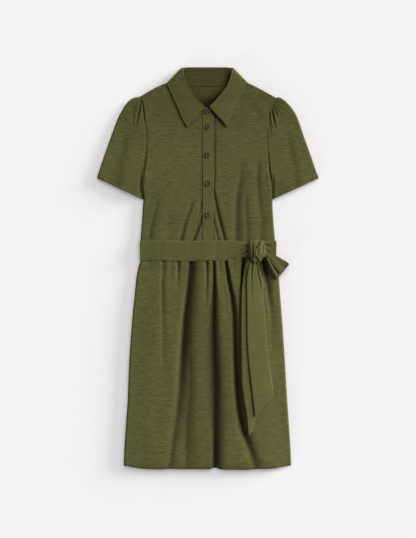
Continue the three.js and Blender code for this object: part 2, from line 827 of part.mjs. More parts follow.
function beltBand() {
  const flat = (x, z, top, bottom) => shares(5).map((s) => [x, mix(top, bottom, s), z]);
  const over = BELT_STATIONS.flatMap((row, i) => {
    const next = BELT_STATIONS[i + 1];
    const steps = next ? [0, 0.5] : [0];
    return steps.map((t) => {
      const at = (column) => (next ? mix(row[column], next[column], t) : row[column]);
      return flat(at("x"), waistTop(at("x")) + BELT_OVER, at("top"), at("bottom"));
    });
  });
  const turn = (edge, inwards, angles) =>
    angles.map((angle) =>
      flat(
        edge + inwards * (WALL / 2 + BELT_TURN * (1 - Math.cos(angle))),
        WALL / 2 + BELT_TURN * (1 + Math.sin(angle)),
        BELT_TOP,
        BELT_BOTTOM,
      ),
    );
  const angles = [1.2, 0.6, 0, -0.6, -1.2];
  const leftTurn = turn(BELT_RIGHT, -1, angles);
  const rightTurn = turn(BELT_LEFT, 1, [...angles].reverse());
  const back = [0.97, 0.75, 0.5, 0.25, 0.03].map((s) =>
    flat(mix(BELT_LEFT, BELT_RIGHT, s), WALL / 2, BELT_TOP, BELT_BOTTOM),
  );
  return strip("belt_band", [...over, ...leftTurn, ...back, ...rightTurn], beltCloth, { ring: true });
}

// Knot: a gathered wrap arching over the belt and both tails
const KNOT = {
  right: 100.8,
  left: 145,
  top: 71.5,
  bottom: 13,
  rise: 13,
  edge: 15.4,
};
const KNOT_BOTTOM_LIFT = 7;
const KNOT_PLEATS = 4;
const KNOT_PLEAT_DEPTH = 1.5;

function beltKnot() {
  const grid = shares(17).map((s) =>
    shares(11).map((t) => {
      const x = mix(KNOT.right, KNOT.left, s);
      const across = 2 * s - 1;
      const arch = Math.sin(Math.PI * mix(0.04, 0.96, t)) ** 0.7;
      const side = Math.sqrt(1 - Math.min(Math.abs(across), 1) ** 2.6);
      const pleat = KNOT_PLEAT_DEPTH * Math.sin(Math.PI * (2 * KNOT_PLEATS * s + 0.8 * t)) * arch * side;
      const waist = 1 - 0.08 * Math.abs(across) ** 2;
      const middle = (KNOT.top + KNOT.bottom) / 2;
      const y = middle + (mix(KNOT.top, KNOT.bottom, t) - middle) * waist;
      const swell = (KNOT.rise * arch * (0.35 + 0.65 * side) + pleat) * (0.2 + 0.8 * side);
      return [x, y, KNOT.edge + KNOT_BOTTOM_LIFT * t * t + swell];
    }),
  );
  return strip("belt_knot", grid, beltCloth, { thick: WALL + 0.2 });
}

// The top of whatever lies at a place beside the knot: belt, front or bare surface
function coverTop(x, y) {
  const onBelt = y > BELT_BOTTOM - WALL && x < BELT_RIGHT;
  if (!onBelt) return frontTop(x, y);
  const lastStation = BELT_STATIONS[BELT_STATIONS.length - 1].x;
  return waistTop(Math.min(x, lastStation)) + BELT_OVER + WALL / 2;
}

// Bow loop: out from the knot, round its open end and back beneath
const LOOP = [
  { near: [147.5, 25], far: [151, 32.5], z: 18.5 },
  { near: [153.5, 11], far: [163.5, 23.5], z: 19.5 },
  { near: [161.5, -6.5], far: [176.5, 9.5], z: 18 },
  { near: [169.5, -23], far: [191.5, -0.5], z: 15 },
  { near: [172, -26], far: [198.5, 7.5], z: 11.5 },
  { near: [171, -19], far: [200.5, 13], z: 8.6 },
  { near: [162.5, -4], far: [186.5, 23], z: 8.8 },
  { near: [154.5, 13.5], far: [171.5, 31.2], z: 11.4 },
  { near: [148.5, 24.5], far: [152.5, 33.7], z: 14.2 },
];
const beltLoop = () =>
  strip(
    "belt_loop",
    LOOP.map(({ near, far, z }) =>
      shares(5).map((s) => {
        const [x, y] = [mix(near[0], far[0], s), mix(near[1], far[1], s)];
        return [x, y, Math.max(z, coverTop(x, y) + GAP + WALL)];
      }),
    ),
    beltCloth,
  );

// Tails: both ends of the belt hang from the knot over the skirt, cut on a slant
const LONG_TAIL = [
  { right: [109, 18.5], left: [122.5, 18.5], lift: 2.6 },
  { right: [96, 6], left: [122.5, 6], lift: 2 },
  { right: [90, -24], left: [127.5, -19], lift: 0.8 },
  { right: [84.5, -59], left: [130, -54], lift: 0.2 },
  { right: [83.3, -129], left: [132.5, -124], lift: 0 },
  { right: [83.3, -209], left: [134, -199], lift: 0 },
  { right: [84.8, -284], left: [136, -264], lift: 0 },
  { right: [92.5, -334], left: [141, -309], lift: 0 },
  { right: [100, -379], left: [146.5, -339], lift: 0 },
  { right: [102, -416.5], left: [146, -354], lift: 0 },
];
const SHORT_TAIL = [
  { right: [111.5, 17], left: [131, 17], lift: 3 },
  { right: [104, 3.5], left: [132.5, 3.5], lift: 2.6 },
  { right: [97.5, -24], left: [139, -26.5], lift: 1.6 },
  { right: [97, -59], left: [138.5, -64], lift: 1 },
  { right: [97, -114], left: [142.5, -119], lift: 0.6 },
  { right: [97.5, -174], left: [147.5, -174], lift: 0.4 },
  { right: [102.5, -239], left: [154, -229], lift: 0.4 },
  { right: [110, -304], left: [159.5, -279], lift: 0.4 },
  { right: [118.5, -371.5], left: [162.5, -316.5], lift: 0.4 },
];
const TAIL_PLEATS = [
  { name: "outer", share: 0.35, end: -79, deep: 0.9 },
  { name: "inner", share: 0.68, end: -109, deep: 0.8 },
];

function tail(name, table, base) {
  const plan = table.map(({ right, left, lift }) =>
    shares(9).map((s) => ({ x: mix(right[0], left[0], s), y: mix(right[1], left[1], s), s, lift })),
  );
  const height = ({ x, y, s, lift }) => {
    const pleats = TAIL_PLEATS.reduce((sum, pleat) => {
      const fade = clamp((y - pleat.end) / (table[0].right[1] - pleat.end), 0, 1);
      return sum + pleat.deep * fade * (1 - Math.exp(-(((s - pleat.share) / 0.12) ** 2)));
    }, 0);
    return smoothLow(x, y) + WALL + GAP + base + lift + pleats + ridgeAllowance(x, y);
  };
  const under = plan.map((row) => row.map((p) => [p.x, p.y, height(p)]));
  const over = under.map((row) => row.map(([x, y, z]) => [x, y, z + WALL]));
  return wallBetween(name, over, under, beltCloth);
}
function ridgeAllowance(x, y) {
  return Math.max(0, frontLow(x, y) - smoothLow(x, y)) + 0.5;
}

const dress = new THREE.Group();
dress.name = "shirt_dress";
dress.add(
  backBodice(),
  bodiceFront("front_bodice_right", rightEdge, RIGHT_SHOULDER, RIGHT_NECK, PLACKET_LEFT - GAP / 2),
  bodiceFront("front_bodice_left", leftEdge, LEFT_SHOULDER, LEFT_NECK, PLACKET_RIGHT + GAP / 2),
  placketStrip("placket_strip", 0),
  placketStrip("button_stand", LAYER),
  collarStand(),
  collarFall(),
  sleeve("sleeve_right", "right", RIGHT_ARMHOLE, RIGHT_SHOULDER, -1),
  sleeve("sleeve_left", "left", LEFT_ARMHOLE, LEFT_SHOULDER, 1),
  frontSkirt(),
  backSkirt(),
  beltBand(),
  beltKnot(),
  beltLoop(),
  tail("belt_tail_long", LONG_TAIL, 0),
  tail("belt_tail_short", SHORT_TAIL, LAYER),
  ...BUTTONS.map((_, index) => button(index)),
);
export default dress;
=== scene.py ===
"""Shirt dress in olive slub jersey, laid flat on its back with the belt tied at its left."""
import math

import bpy
import numpy as np
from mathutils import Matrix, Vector


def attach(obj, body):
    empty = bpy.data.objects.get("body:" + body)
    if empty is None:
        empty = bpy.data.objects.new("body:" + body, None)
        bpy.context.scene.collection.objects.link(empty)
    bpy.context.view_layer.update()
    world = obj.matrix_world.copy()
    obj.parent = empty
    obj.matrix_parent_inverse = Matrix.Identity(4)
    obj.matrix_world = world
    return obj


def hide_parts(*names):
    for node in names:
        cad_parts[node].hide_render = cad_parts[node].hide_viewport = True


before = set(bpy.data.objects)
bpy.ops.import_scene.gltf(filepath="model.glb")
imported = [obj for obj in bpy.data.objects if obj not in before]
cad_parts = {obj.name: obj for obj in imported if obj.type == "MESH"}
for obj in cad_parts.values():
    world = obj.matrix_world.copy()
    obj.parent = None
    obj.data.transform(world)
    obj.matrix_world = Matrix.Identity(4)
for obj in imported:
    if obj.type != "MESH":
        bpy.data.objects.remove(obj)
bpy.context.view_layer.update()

# Places are written as (u, v) in squares of 2.5 mm: u to the wearer's left, v down the dress.
SQUARE, MID_U, MID_V = 2.5, 208.0, 268.4
PICTURE_TALL = 538
WALL, GAP = 1.6, 0.3
LAYER = WALL + GAP
HALF = (2 * WALL + GAP) / 2
CLOTH = 0.7
DOUBLED = 0.9
LENS, SENSOR = 100, 36
CAMERA_RISE = 0.008


def xy(u, v):
    return (np.asarray(u, float) - MID_U) * SQUARE, (MID_V - np.asarray(v, float)) * SQUARE


def uv(x, y):
    return MID_U + x / SQUARE, MID_V - y / SQUARE


def make_camera():
    data = bpy.data.cameras.new("camera")
    data.lens = LENS
    data.sensor_width = SENSOR
    data.clip_end = 30
    camera = bpy.data.objects.new("camera", data)
    bpy.context.scene.collection.objects.link(camera)
    tall = PICTURE_TALL * SQUARE / 1000
    camera.location = (0.0, (MID_V - PICTURE_TALL / 2) * SQUARE / 1000, tall * LENS / SENSOR + CAMERA_RISE)
    bpy.context.scene.camera = camera


make_camera()

# Outlines, as lists of u, v
SHOULDER_R = [(167, 82.6), (163, 83.8), (160, 85.3), (155, 87.5), (150, 90.3), (145, 93.2), (140, 96.4)]
SHOULDER_L = [(248, 82.1), (252, 83.7), (255, 85.2), (259, 87.2), (263, 89.3), (269, 92.6), (277.4, 97)]
SLEEVE_R = [(139.4, 96.6), (135, 97.3), (130.6, 99.3), (126.2, 103.6), (122.4, 109.4), (118.9, 115.6),
    (115.5, 123.6), (112.8, 131), (109.6, 140), (106, 150), (102.5, 160), (99.2, 170), (96.8, 177.7)]
SLEEVE_L = [(277.6, 96.9), (281.4, 97.9), (285.6, 101), (289.6, 105), (293.2, 109.6), (296.8, 115.7),
    (300, 123.6), (302.4, 131), (305.5, 140), (309.1, 150), (312.6, 160), (316, 170), (319.2, 177.9)]
SIDES = np.array([  # v, u at the wearer's right, u at the wearer's left
    (199.4, 143.4, 272.6), (206, 142.8, 272.6), (212, 142.5, 272.9), (219, 142, 273.4), (226, 141.4, 273.8),
    (233, 140.9, 274.5), (238, 140.6, 274.9), (244, 140.8, 275.3), (251, 141, 275.6), (262, 140.4, 276),
    (266, 138.6, 277.2), (275, 136.7, 278.7), (285, 135.5, 279.6), (298, 134.3, 280.5), (310, 132.9, 281.5),
    (325, 131.7, 282.7), (340, 130.5, 283.7), (358, 129.3, 284.9), (375, 128.5, 285.9), (402, 127.5, 287.5),
    (430, 125.5, 289.5), (450, 124.1, 290.7), (465.6, 123.6, 291.4)])
ARMHOLE_R = [(143.4, 190), (144, 180), (145.2, 169.5), (146.6, 157), (147.6, 142), (147.2, 132),
    (145.2, 120), (143, 107), (140, 96.6)]
ARMHOLE_L = [(272.2, 190), (271.8, 182), (270.6, 173.7), (268.3, 161), (266, 148), (265.8, 141),
    (266.6, 133), (268.4, 122), (270.6, 110), (277.2, 98.3)]
NECK_R = [(174.4, 81.6), (176.6, 90), (183, 101), (193, 109.4), (198.6, 109.4), (202.4, 108.4)]
NECK_L = [(241, 81), (238.6, 90), (232.4, 101), (223, 108), (214, 111.6)]
NECK_BACK = [(180, 83.6), (187, 84.9), (207, 85.2), (226, 84.9), (234, 83.6)]
PLACKET_U = (202.5, 213.8)
WAIST_V, HEM_V = 251.0, 465.6
WAIST_RAISED, WAIST_SLOPE = (229.4, 272.4), 8.8
NECK_RAISED, NECK_SLOPE = 104, 11
# Air between front and back: v, then mm
LOFT = np.array([(66, 2.6), (100, 3), (135, 6.5), (175, 8), (215, 7.5), (238, 6), (264, 7), (280, 9.4),
    (320, 11), (430, 11), (470, 10.4)])
EDGE_REACH = 4.2


# Curves and distances
def rounded(distance, reach):
    s = np.clip(distance / reach, 0, 1)
    return np.sqrt(1 - (1 - s) ** 2)


def ease(t):
    t = np.clip(t, 0, 1)
    return t * t * (3 - 2 * t)


def bell(distance, width):
    return np.exp(-(distance / width) ** 2)


def path_mm(points):
    p = np.array(points, float)
    return np.stack(xy(p[:, 0], p[:, 1]), 1)


def run_of(points, axis=0):
    """How far along the cloth or the line each point is, in mm."""
    step = np.linalg.norm(np.diff(points, axis=axis), axis=-1)
    first = np.zeros_like(step[:1] if axis == 0 else step[:, :1])
    return np.concatenate([first, np.cumsum(step, axis=axis)], axis=axis)


def places_at(line, along, at):
    return np.stack([np.interp(at, along, line[:, k]) for k in range(line.shape[1])], -1)


def by_station(table, count):
    """Rows of a table joined smoothly, evenly by row number."""
    n = len(table)
    at = np.linspace(0, n - 1, count)
    i = np.clip(at.astype(int), 0, n - 2)
    t = (at - i)[:, None]
    q = np.vstack([2 * table[0] - table[1], table, 2 * table[-1] - table[-2]])
    a, b, c, d = q[i], q[i + 1], q[i + 2], q[i + 3]
    curved = (2 * a - 5 * b + 4 * c - d) * t ** 2 + (3 * b - a - 3 * c + d) * t ** 3
    return 0.5 * (2 * b + (c - a) * t + curved)


def share_path(points, shares, soft=False):
    """Points at shares of the way along an edge, which is made smooth first when soft."""
    p = np.array(points, float)
    if soft:
        p = by_station(p, 16 * (len(p) - 1) + 1)
        along = run_of(p)
        p = places_at(p, along, np.linspace(0, along[-1], 200))
    along = run_of(p)
    return places_at(p, along, shares * along[-1])


def to_segment(x, y, a, b):
    """Share of the way along a segment, and distance from it."""
    d = b - a
    t = np.clip(((x - a[0]) * d[0] + (y - a[1]) * d[1]) / (d @ d), 0, 1)
    return t, np.hypot(x - a[0] - d[0] * t, y - a[1] - d[1] * t)


def to_path(x, y, path):
    return np.min([to_segment(x, y, a, b)[1] for a, b in zip(path[:-1], path[1:])], axis=0)


CLOSED = [path_mm(SHOULDER_R + SLEEVE_R), path_mm(SHOULDER_L + SLEEVE_L),
          path_mm(SIDES[:, [1, 0]]), path_mm(SIDES[:, [2, 0]])]


def side_u(v, column):
    return np.interp(v, SIDES[:, 0], SIDES[:, column])


def edge_distance(x, y):
    far = np.min([to_path(x, y, path) for path in CLOSED], axis=0)
    u, v = uv(x, y)
    outside = (v > SIDES[0, 0]) & ((u < side_u(v, 1)) | (u > side_u(v, 2)))
    return np.where(outside, 0, far)


def raised(v):
    """How much the cloth is lifted where the belt's and the collar's backs lie beneath it."""
    waist = np.minimum(v - WAIST_RAISED[0], WAIST_RAISED[1] - v) / WAIST_SLOPE
    return LAYER * ease(np.maximum(waist, (NECK_RAISED - v) / NECK_SLOPE))


# Folds that run down the dress: rows of v, u, depth in mm, and width to each side in mm.
# A negative depth is a ridge.
DOWN_FOLDS = {
    "skirt_right_long": [(253, 191, 7, 4, 10), (262, 190.8, 9.4, 4.6, 11), (282, 189, 9.8, 5.4, 13),
        (296, 187.4, 9.8, 6, 14.5), (315, 185, 9.8, 7, 16), (335, 183.6, 9.8, 8.4, 17),
        (360, 182, 8.8, 9, 17), (390, 180, 6.2, 10, 16), (420, 176.4, 4.4, 11, 13), (450, 171.8, 3, 11, 8),
        (470, 169.8, 2.4, 11, 8)],
    "skirt_right_second": [(345, 190, 0, 8, 10), (375, 190.2, 2.8, 9, 10), (400, 188.8, 3.8, 11, 13),
        (425, 186, 4.3, 13, 17), (450, 185.6, 4, 12, 18), (470, 186, 2.8, 10, 18)],
    "skirt_centre": [(253, 213.6, 6, 2.6, 3), (264, 213.8, 8, 2.6, 3.2), (282, 214, 8.6, 3, 4),
        (296, 213.8, 9, 6, 6.4), (315, 213.4, 9.2, 9.6, 8.4), (335, 213.4, 9.2, 11.8, 10),
        (360, 214.2, 9.4, 13.6, 12), (390, 215, 9.8, 13.4, 12.6), (420, 214.8, 10, 9.4, 13),
        (450, 214.4, 10.2, 5.8, 13), (473, 214.4, 10.2, 6, 12)],
    "skirt_left_long": [(253, 225.8, 6, 2.8, 3), (264, 226, 8.8, 3, 3.6), (272, 227, 9, 3.4, 4.6),
        (282, 228.6, 8.8, 4, 5), (296, 231.6, 8.6, 4.6, 5.6), (315, 233.8, 8.6, 5, 7),
        (335, 234.6, 9.2, 5.4, 7.4), (360, 235.2, 10, 6, 9), (390, 236.6, 10, 6.4, 10),
        (410, 238.8, 10, 7, 10), (425, 241.6, 9, 9, 9), (436, 245, 8, 10, 9), (450, 250.4, 6.4, 10, 9),
        (462, 254, 4.8, 11, 12), (473, 256, 4.4, 11, 13)],
    "skirt_side": [(253, 162.6, 2, 4, 4.4), (282, 162, 2.2, 4, 4.6), (315, 162.2, 1.9, 4.4, 7),
        (345, 163, 1.3, 6, 9), (385, 163, 0, 9, 10)],
    "short_a": [(253, 178.4, 5, 3, 5), (264, 178.2, 4.4, 3, 5), (274, 177.6, 2, 3.6, 5),
        (290, 177, 0, 4, 5)],
    "short_b": [(253, 164.6, 2.4, 3, 4), (264, 164.4, 2, 3, 4), (280, 164, 0, 4, 4)],
    "short_c": [(253, 171.6, 1.8, 2.4, 2.8), (266, 171.6, 1.2, 2.6, 3), (280, 171, 0, 4, 4)],
    "short_d": [(253, 199.4, 1.2, 3, 3), (266, 199, 0.7, 3, 3), (280, 199, 0, 4, 4)],
    "short_e": [(253, 206.8, 5.4, 2.8, 3), (264, 206.8, 5, 2.8, 3), (274, 206.8, 3.4, 3, 3.4),
        (296, 206, 1, 4, 4), (312, 206, 0, 5, 5)],
    "short_f": [(253, 150, 1.6, 4, 4), (264, 149.6, 1.1, 4, 4), (280, 149, 0, 5, 5)],
    "short_g": [(253, 219, 1.4, 2.4, 2.4), (266, 219.4, 0.8, 2.6, 2.6), (280, 220, 0, 4, 4)],
    "short_h": [(253, 234, 1.2, 3, 3), (266, 234.4, 0.7, 3, 3), (280, 235, 0, 4, 4)],
    "beside_tail": [(255, 243.2, 7, 3.8, 5), (264, 242.6, 9, 3.6, 5), (282, 241.4, 5.6, 2.6, 6),
        (300, 240.4, 3.6, 2.4, 6), (325, 239.8, 2.8, 2.4, 6), (350, 239.6, 2, 2.4, 6), (370, 240, 0, 3, 6)],
    "under_bow": [(255, 261, 6, 8, 8), (266, 264, 8.4, 8, 8), (274, 266, 8, 5, 8), (284, 267.4, 6.6, 4, 7),
        (298, 269, 4.6, 4, 6), (315, 271.6, 2.4, 5, 8), (345, 272, 1, 6, 9), (370, 272, 0, 6, 9)],
    "bodice_left": [(182, 212.4, 0, 2.6, 3), (189, 212.9, 2.6, 2.6, 3.4), (205, 215.9, 4, 2.8, 4.4),
        (214, 217.7, 4.4, 3, 5), (222, 219.6, 4.6, 3, 5), (236, 223.4, 4.4, 3, 5),
        (248, 225.6, 4.4, 3, 5.4)],
    "bodice_left_fine": [(216, 213.4, 0, 2.4, 2.6), (224, 214.4, 1.4, 2.4, 2.6), (240, 218, 2.2, 2.6, 3),
        (248, 220, 2.2, 3, 3)],
    "bodice_right": [(208, 204, 0, 4, 3), (214, 202.6, 1.6, 4, 3.4), (221, 200.8, 3, 4.4, 3.6),
        (230, 197.2, 4, 4.4, 4.2), (240, 193.6, 4.6, 5, 4.6), (248, 192, 4.6, 5, 4.6)],
    "bodice_right_fine": [(196, 202.4, 0, 2.8, 2.6), (204, 201, 1.8, 3, 2.6), (214, 199.2, 1.4, 3, 2.6),
        (224, 196.4, 0, 3, 2.6)],
    "bodice_right_outer": [(196, 194.4, 0, 6, 4.4), (205, 191.4, 1.8, 6, 4.4), (214, 188.4, 2.1, 6, 4.4),
        (222, 185.4, 2.5, 6, 4.4), (236, 181.6, 3, 6, 4.6), (248, 179.6, 3, 6, 4.6)],
    "bust_left": [(156, 243.6, 0, 9, 9), (165, 241.6, 0.9, 9, 9), (176, 240.6, 1.9, 9, 9),
        (188, 238.2, 2.6, 9, 9), (198, 236.6, 2.7, 8, 9), (214, 236, 2.8, 7, 9), (248, 236, 3, 7, 9)],
    "side_left": [(156, 258.6, 0, 8, 6), (165, 257.9, 1.1, 8, 6), (176, 257.3, 1.9, 8, 6),
        (188, 257.6, 2.1, 8, 7), (205, 259.8, 1.8, 8, 8), (222, 261.4, 1.5, 8, 9), (248, 260.4, 2, 8, 8)],
    "side_left_inner": [(190, 245.8, 0, 5, 6), (198, 245.8, 1.1, 5, 6), (206, 245.4, 1.2, 5, 6),
        (222, 246.6, 1.3, 5, 6), (248, 247.2, 1.4, 5, 7)],
    "side_right": [(198, 158, 0, 5, 5), (206, 156.4, 1, 5, 5), (214, 154.4, 1.4, 5, 5),
        (222, 152, 1.7, 5, 6), (230, 150.2, 1.8, 5, 6), (248, 149, 1.9, 5, 6)],
}
# Broad, shallow ones, given no painted shade.
SOFT_FOLDS = {
    "left_slope": [(392, 294, 0, 40, 40), (425, 294, 3.6, 44, 40), (450, 294, 5.4, 48, 40),
        (474, 294, 6, 52, 40)],
    "left_edge_dip": [(360, 273.4, 0, 6, 8), (390, 273.6, 1.4, 6, 8), (412, 274, 0, 6, 8)],
    "hem_right_dip": [(425, 144, 0, 10, 12), (445, 144, 0.9, 12, 14), (470, 142, 0.9, 12, 16)],
    "bust_right": [(196, 170, 0, 10, 10), (222, 169, 1, 12, 12), (248, 168, 1.2, 14, 12)],
}
# Folds that run any way: points of u, v, depth in mm, with one width in mm.
FREE_FOLDS = {
    "gather_r1": ([(141, 100.4, 2.4), (140.4, 104, 4.4), (139.4, 110, 4.8), (138.2, 116, 4),
        (136.8, 122, 2), (135.6, 130, 0)], 2.0),
    "gather_r2": ([(142.2, 101.4, 1.8), (142.9, 106, 3.6), (143.5, 111, 4.2), (144.3, 118, 3.2),
        (145.2, 124, 0.6), (146, 132, 0)], 1.7),
    "gather_r3": ([(135.6, 101.4, 0), (133.6, 106, 1.6), (132.6, 112, 1.8), (133, 120, 1), (134, 130, 0)],
        2.8),
    "gather_r4": ([(137.8, 99.6, 0.6), (136.4, 104, 2.2), (135.2, 110, 1.8), (134.2, 117, 0)], 1.7),
    "under_r": ([(144.6, 150, 0), (142.8, 166, 1.4), (141, 178, 3), (140.8, 188, 4.4), (142.4, 198, 4.6)],
        4.6),
    "seam_r": ([(145, 122, 0.4), (146.2, 134, 1.1), (146.2, 146, 1.2), (145, 160, 1.9), (143.8, 170, 1.4),
        (143, 180, 0)], 2.6),
    "seam_l": ([(269.4, 122, 0.8), (267.4, 132, 1.2), (267.4, 144, 0.8), (268.8, 162, 2), (270.2, 176, 3.4),
        (271.8, 188, 1.4)], 2.2),
    "placket_side": ([(214.8, 112, 1.2), (214.8, 150, 1.5), (214.6, 176, 1.6), (214, 190, 1)], 2.7),
    "gather_l1": ([(277, 100.4, 1.8), (279.8, 102.6, 1.9), (283, 106, 0)], 1.9),
    "gather_l2": ([(275.6, 102.2, 3), (279, 105.6, 3), (282.6, 110.8, 0)], 1.7),
    "gather_l3": ([(274.2, 104.4, 3.4), (277.2, 108.4, 3.3), (280.6, 115, 0)], 1.7),
    "gather_l4": ([(273, 106.6, 3.6), (275.6, 111, 3.5), (278.6, 119, 0)], 1.7),
    "gather_l5": ([(272, 109, 3.6), (272.7, 113.6, 4.6), (273.8, 119, 4), (275, 125, 1.6), (276.2, 131, 0)],
        2.1),
    "gather_l6": ([(269.7, 112, 2.6), (269.8, 120, 2.6), (270.2, 130, 1.6), (271.4, 139, 0)], 2.2),
    "gather_l7": ([(280, 99.8, 1.2), (284.6, 103.6, 1.3), (289, 109, 0)], 2.2),
    "under_l": ([(271.4, 170, 0), (272.8, 182, 2.4), (272.8, 197, 3)], 3.8),
    "sleeve_l_soft": ([(286, 126, 0), (290, 145, 1), (294, 165, 1.2), (297, 186, 1)], 11),
    "sleeve_r_soft": ([(128, 128, 0), (124, 146, 0.9), (120, 165, 1), (117, 184, 0.9)], 11),
    "yoke_r": ([(171, 98, 0), (160, 108, 0.6), (154, 124, 0)], 10),
    "yoke_l": ([(246, 98, 0), (256, 108, 0.6), (262, 124, 0)], 10),
    "belly_r": ([(146, 238, 0.8), (158, 231, 0.6), (172, 226, 0)], 5),
}
FOLD_FADE = 3
SEAMS = [path_mm(ARMHOLE_R), path_mm(ARMHOLE_L)]
SEAM_DEPTH, SEAM_WIDE = 0.28, 1.2


def fold_at(rows, v):
    """A fold's middle, depth and width to each side at every v, in mm."""
    t = np.array(rows, float)
    u, depth, left, right = (np.interp(v, t[:, 0], t[:, k]) for k in (1, 2, 3, 4))
    fade = ease((v - t[0, 0] + FOLD_FADE) / FOLD_FADE) * ease((t[-1, 0] + FOLD_FADE - v) / FOLD_FADE)
    return (u - MID_U) * SQUARE, depth * fade, left, right


def down_fold(x, v, rows):
    middle, depth, left, right = fold_at(rows, v)
    wide = np.where(x < middle, left, right)
    across = np.abs(x - middle) / wide
    near = np.exp(-across ** np.where(wide > 7, 1.5, 2))
    return depth * (1.14 * near - 0.14 * bell(across, 2.4))


def free_fold(x, y, points, wide):
    p = np.array(points, float)
    line = path_mm(p[:, :2])
    best, depth = np.full(np.shape(x), 1e9), np.zeros(np.shape(x))
    for i in range(len(line) - 1):
        t, far = to_segment(x, y, line[i], line[i + 1])
        depth = np.where(far < best, p[i, 2] + (p[i + 1, 2] - p[i, 2]) * t, depth)
        best = np.minimum(best, far)
    return depth * (1.25 * bell(best, wide) - 0.25 * bell(best, 2.8 * wide))


def painted_crease_shade(cuts, most, full):
    """Painted shade in creases: the colour darkened by at most the share most, reached at the depth full in
    mm.
    """
    return 1 - np.prod([1 - most * np.clip(cut / full, 0, 1) for cut in cuts], axis=0)


# Painted shade that darkens the colour at the folds' bottoms. Some are painted darker than their depth gives,
# with the shade a little aside of the fold in mm.
DEEPEST_PAINTED_SHADE = 0.85
FULL_DEPTH = 9.2
PAINTED_SHADE_MORE = {
    "bust_left": (1.5, 6), "side_left": (1.7, 4.5), "side_left_inner": (1.9, 3), "side_right": (1.8, 1.5),
    "bodice_right_outer": (1.3, 1.6), "bodice_right_fine": (1.3, 0.6)}
PAINTED_SHADE_LEFT = {"skirt_right_long": 6.8, "skirt_left_long": 8}  # at most so far left of a fold, in mm
# Painted shadows: beside the long tail, right of the bow, under the front edges of the collar's two leaves,
# and painted shade along the armhole seams.
SHADOWS = [  # points of u, v, share held back, then v and width in mm along it, and the v where it ends
    ([(244.6, 258), (243.6, 266), (242.2, 277)], 0.8, [258, 270, 280], [6.5, 4, 1.6], HEM_V),
    ([(260.6, 259), (262.4, 266), (264.6, 274), (266.4, 284)], 0.62, [259, 272, 286], [11, 8, 4], 286),
    ([(208.2, 109), (217, 117.6), (226.4, 127.4)], 0.72, [109], [2.6], HEM_V),
    ([(203, 113), (196, 120), (188, 128.4)], 0.22, [113], [2.2], HEM_V),
    (ARMHOLE_R, 0.16, [190], [1.5], HEM_V),
    (ARMHOLE_L, 0.16, [190], [1.5], HEM_V),
]


def painted_upper_dimming(v):
    """Painted shade: the share of colour kept on the upper bodice, painted darker towards the top as though it
    tipped away from the lamp.
    """
    return 1 - 0.15 * ease((168 - v) / 66)


def fold_shade(x, y):
    """How much painted shade darkens the colour, from 0 to 1: at the folds' bottoms, on the upper bodice, on
    the skirt's wearer's-right part, and in painted shadows.
    """
    u, v = uv(x, y)
    clear = np.ones(np.shape(x))
    for name, rows in DOWN_FOLDS.items():
        middle, depth, left, right = fold_at(rows, v)
        more, aside = PAINTED_SHADE_MORE.get(name, (1, 0))
        away = x - middle - aside
        wide = np.where(away < 0, np.minimum(1.5 * left, PAINTED_SHADE_LEFT.get(name, 99)), 1.5 * right)
        near = np.exp(-(np.abs(away) / wide) ** np.where(wide > 9, 1.6, 2))
        dark = np.clip(more * np.clip(depth / FULL_DEPTH, 0, 1.05) ** 1.2, 0, 1)
        clear = clear * (1 - DEEPEST_PAINTED_SHADE * dark * near)
    for points, wide in FREE_FOLDS.values():
        clear = clear * (1 - 0.6 * np.clip(free_fold(x, y, points, 1.25 * wide) / 4, 0, 1))
    # Painted shade: the upper bodice darker, more so on the wearer's right.
    clear = clear * painted_upper_dimming(v) * (1 - 0.04 * ease(-x / 60) * ease((150 - v) / 40))
    # Painted shade: a little darker over the bodice and the skirt's wearer's-right part, fading out near the
    # wearer's-right edge.
    inner = np.where(x < 0, ease(edge_distance(x, y) / 50), 1)
    clear = clear * (1 - 0.055 * inner * np.where(v > WAIST_V, ease((MID_U - 6 - u) / 22), 1))
    # Painted shadows along the SHADOWS lines.
    for points, share, at, wide, end in SHADOWS:
        fade = ease((end - v) / 18) if end < HEM_V else 1
        clear = clear * (1 - share * fade * bell(to_path(x, y, path_mm(points)), np.interp(v, at, wide)))
    return 1 - clear


class Waves:
    """A gentle unevenness made of a few random waves, with their lengths in mm."""

    def __init__(self, seed, count, short, long, lean):
        r = np.random.default_rng(seed)
        length = r.uniform(short, long, count)
        angle = r.normal(0, lean, count)
        self.kx, self.ky = np.cos(angle) * 2 * np.pi / length, np.sin(angle) * 2 * np.pi / length
        self.phase, self.size = r.uniform(0, 6.28, count), length / length.mean() / math.sqrt(count)

    def __call__(self, x, y):
        waves = zip(self.kx, self.ky, self.phase, self.size)
        return sum(size * np.sin(kx * x + ky * y + phase) for kx, ky, phase, size in waves)


front_waves, back_waves = Waves(3, 26, 60, 240, 1.5), Waves(5, 26, 50, 220, 1.5)
HEM_FLAT_V, HEM_FLAT_REACH = 468.5, 26
EDGE_THIN, EDGE_THIN_REACH = 0.36, 62


